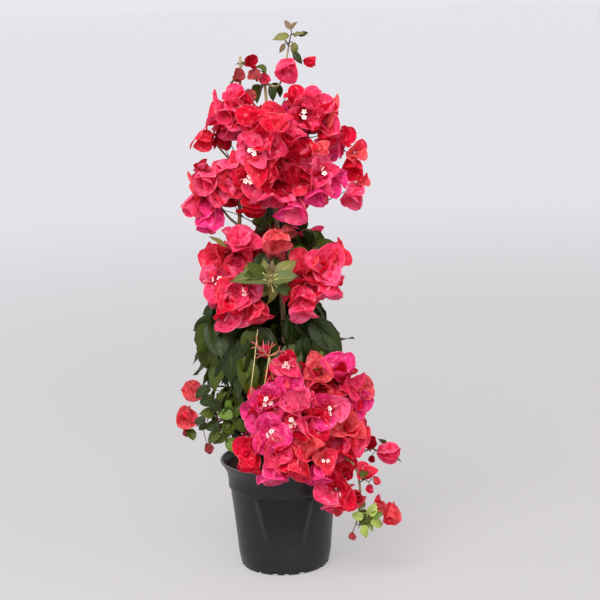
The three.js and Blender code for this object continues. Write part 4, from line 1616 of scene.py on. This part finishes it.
def bractSkin(tint):
    skin, vein, throat = (colour(text) for text in tints[tint])
    finish = Finish("bract_" + tint)
    place, across, along = finish.bladeMap()
    settings = {"feature": "DISTANCE_TO_EDGE", "voronoi_dimensions": "2D"}
    cells = finish.node("ShaderNodeTexVoronoi", settings, {"Vector": place, "Scale": 34.0})
    net = cells.ramp(0.07, 0.0)
    rib = across.ramp(0.07, 0.0)
    sideVeins = abs(((along * 7 - across * 2.6) * 3.1416).sine()).ramp(0.16, 0.0) * across.ramp(1.0, 0.5)
    blotch = finish.noise(place, 7, 4)
    veins = (rib + sideVeins * 0.6 + net * 0.35).least(1.0)
    crease = finish.noise(place, 11, 2, 0.4)
    # a paler, pinker tone for the painted highlights below
    lift = 0.38 * skin[0] ** 2
    pale = tuple(value + (1 - value) * lift for value in skin)
    tone = finish.layered(skin, [
        (throat, along.ramp(0.22, 0.0) * 0.6),
        (vein, veins * 0.55),
        (vein, blotch.ramp(0.5, 0.75) * 0.3),
        # painted shade: the throat tone darkens the low creases
        (throat, crease.ramp(0.5, 0.36) * 0.75),
        # painted highlights: the pale tone lights the creases' ridges and the bract's margins
        (pale, crease.ramp(0.58, 0.76) * 0.7),
        (pale, across.ramp(0.78, 1.0) * 0.6),
    ])
    relief = net * -0.2 - sideVeins * 0.35 - rib * 0.4 + blotch + crease * 2.6
    finish.set(Base_Color=tone, Roughness=blotch * 0.2 + 0.42, Specular_IOR_Level=0.02,
               Normal=finish.bump(relief, 0.002, 0.8))
    finish.shineThrough(skin, 0.3)
    return finish.material


def leafSkin(kind):
    skin, vein, edge = (colour(text) for text in greens[kind])
    finish = Finish("leaf_" + kind)
    place, across, along = finish.bladeMap()
    rib = across.ramp(0.08, 0.02)
    sideVeins = abs(((along * 6 - across * 2.0) * 3.1416).sine()).ramp(0.12, 0.0) * across.ramp(1.0, 0.4)
    blotch = finish.noise(place, 6, 4)
    fine = finish.noise(place, 60, 2)
    tone = finish.mix(skin, vein, (rib * 0.8 + sideVeins * 0.35).least(1.0))
    tone = finish.mix(tone, edge, (across.ramp(0.6, 1.0) * 0.6 + blotch.ramp(0.5, 0.8) * 0.5).least(1.0))
    height = rib * -1.2 - sideVeins * 0.7 + blotch + fine * 0.2
    finish.set(Base_Color=tone, Roughness=blotch * 0.24 + 0.26, Specular_IOR_Level=0.25,
               Normal=finish.bump(height, 0.0012, 0.8))
    finish.shineThrough(vein, 0.1)
    return finish.material


def plainSkin(name, tones, rough):
    # two tones along the part's own length, softly mottled
    finish = Finish(name)
    place = finish.mapPlace()
    along = finish.parts(place)[1]
    mottle = finish.noise(place, 12, 3)
    tone = finish.mix(*map(colour, tones), (along * 0.8 + mottle * 0.4 - 0.1).ramp(0.0, 1.0))
    finish.set(Base_Color=tone, Roughness=mottle * 0.2 + rough, Specular_IOR_Level=0.3,
               Normal=finish.bump(mottle, 0.0003, 0.4))
    return finish.material


def buildBlades(listed, forms, name, material, slot, replaces):
    heap = Heap()
    for index in sorted({item[0] for item in listed}):
        heap.addCopies(forms[index], [item[1:] for item in listed if item[0] == index])
    heap.build(name, material, slot, replaces)


for tint, listed in foliage.bracts.items():
    nodes = list(sprays) if tint == "pink" else []
    buildBlades(listed, bractForms, "bracts_" + tint, bractSkin(tint), "bract", nodes)
for kind, listed in foliage.leaves.items():
    nodes = list(leafing) if kind == "deep" else []
    slot = "young_leaf" if kind in youngKinds else "leaf"
    if listed:
        buildBlades(listed, leafForms, "leaves_" + kind, leafSkin(kind), slot, nodes)
print("bracts and leaves are built")

stars, tubes = Heap(), Heap()
stars.addCopies(star, foliage.stars)
stars.build("floretStars", plainSkin("floretStar", floret["face"], 0.5), "bract")
tubes.addCopies(floretTube, foliage.tubes)
tubes.build("floretTubes", plainSkin("floretTube", floret["tube"], 0.5), "bract")
wood.heap().build("twigs", plainSkin("twigSkin", growth["tones"], 0.65), "bark")
makeBareTwigs().build("bareTwigs", plainSkin("bareTwigSkin", bareTwigs["tones"], 0.6), "bark")
shoots, spent = makeYoungWood()
shoots.build("youngShoots", plainSkin("youngBark", youngWood["tones"], 0.6), "bark")
spent.build("spentStalks", plainSkin("spentSkin", youngWood["spentTones"], 0.6), "bract")
print("florets, twigs and shoots are built")
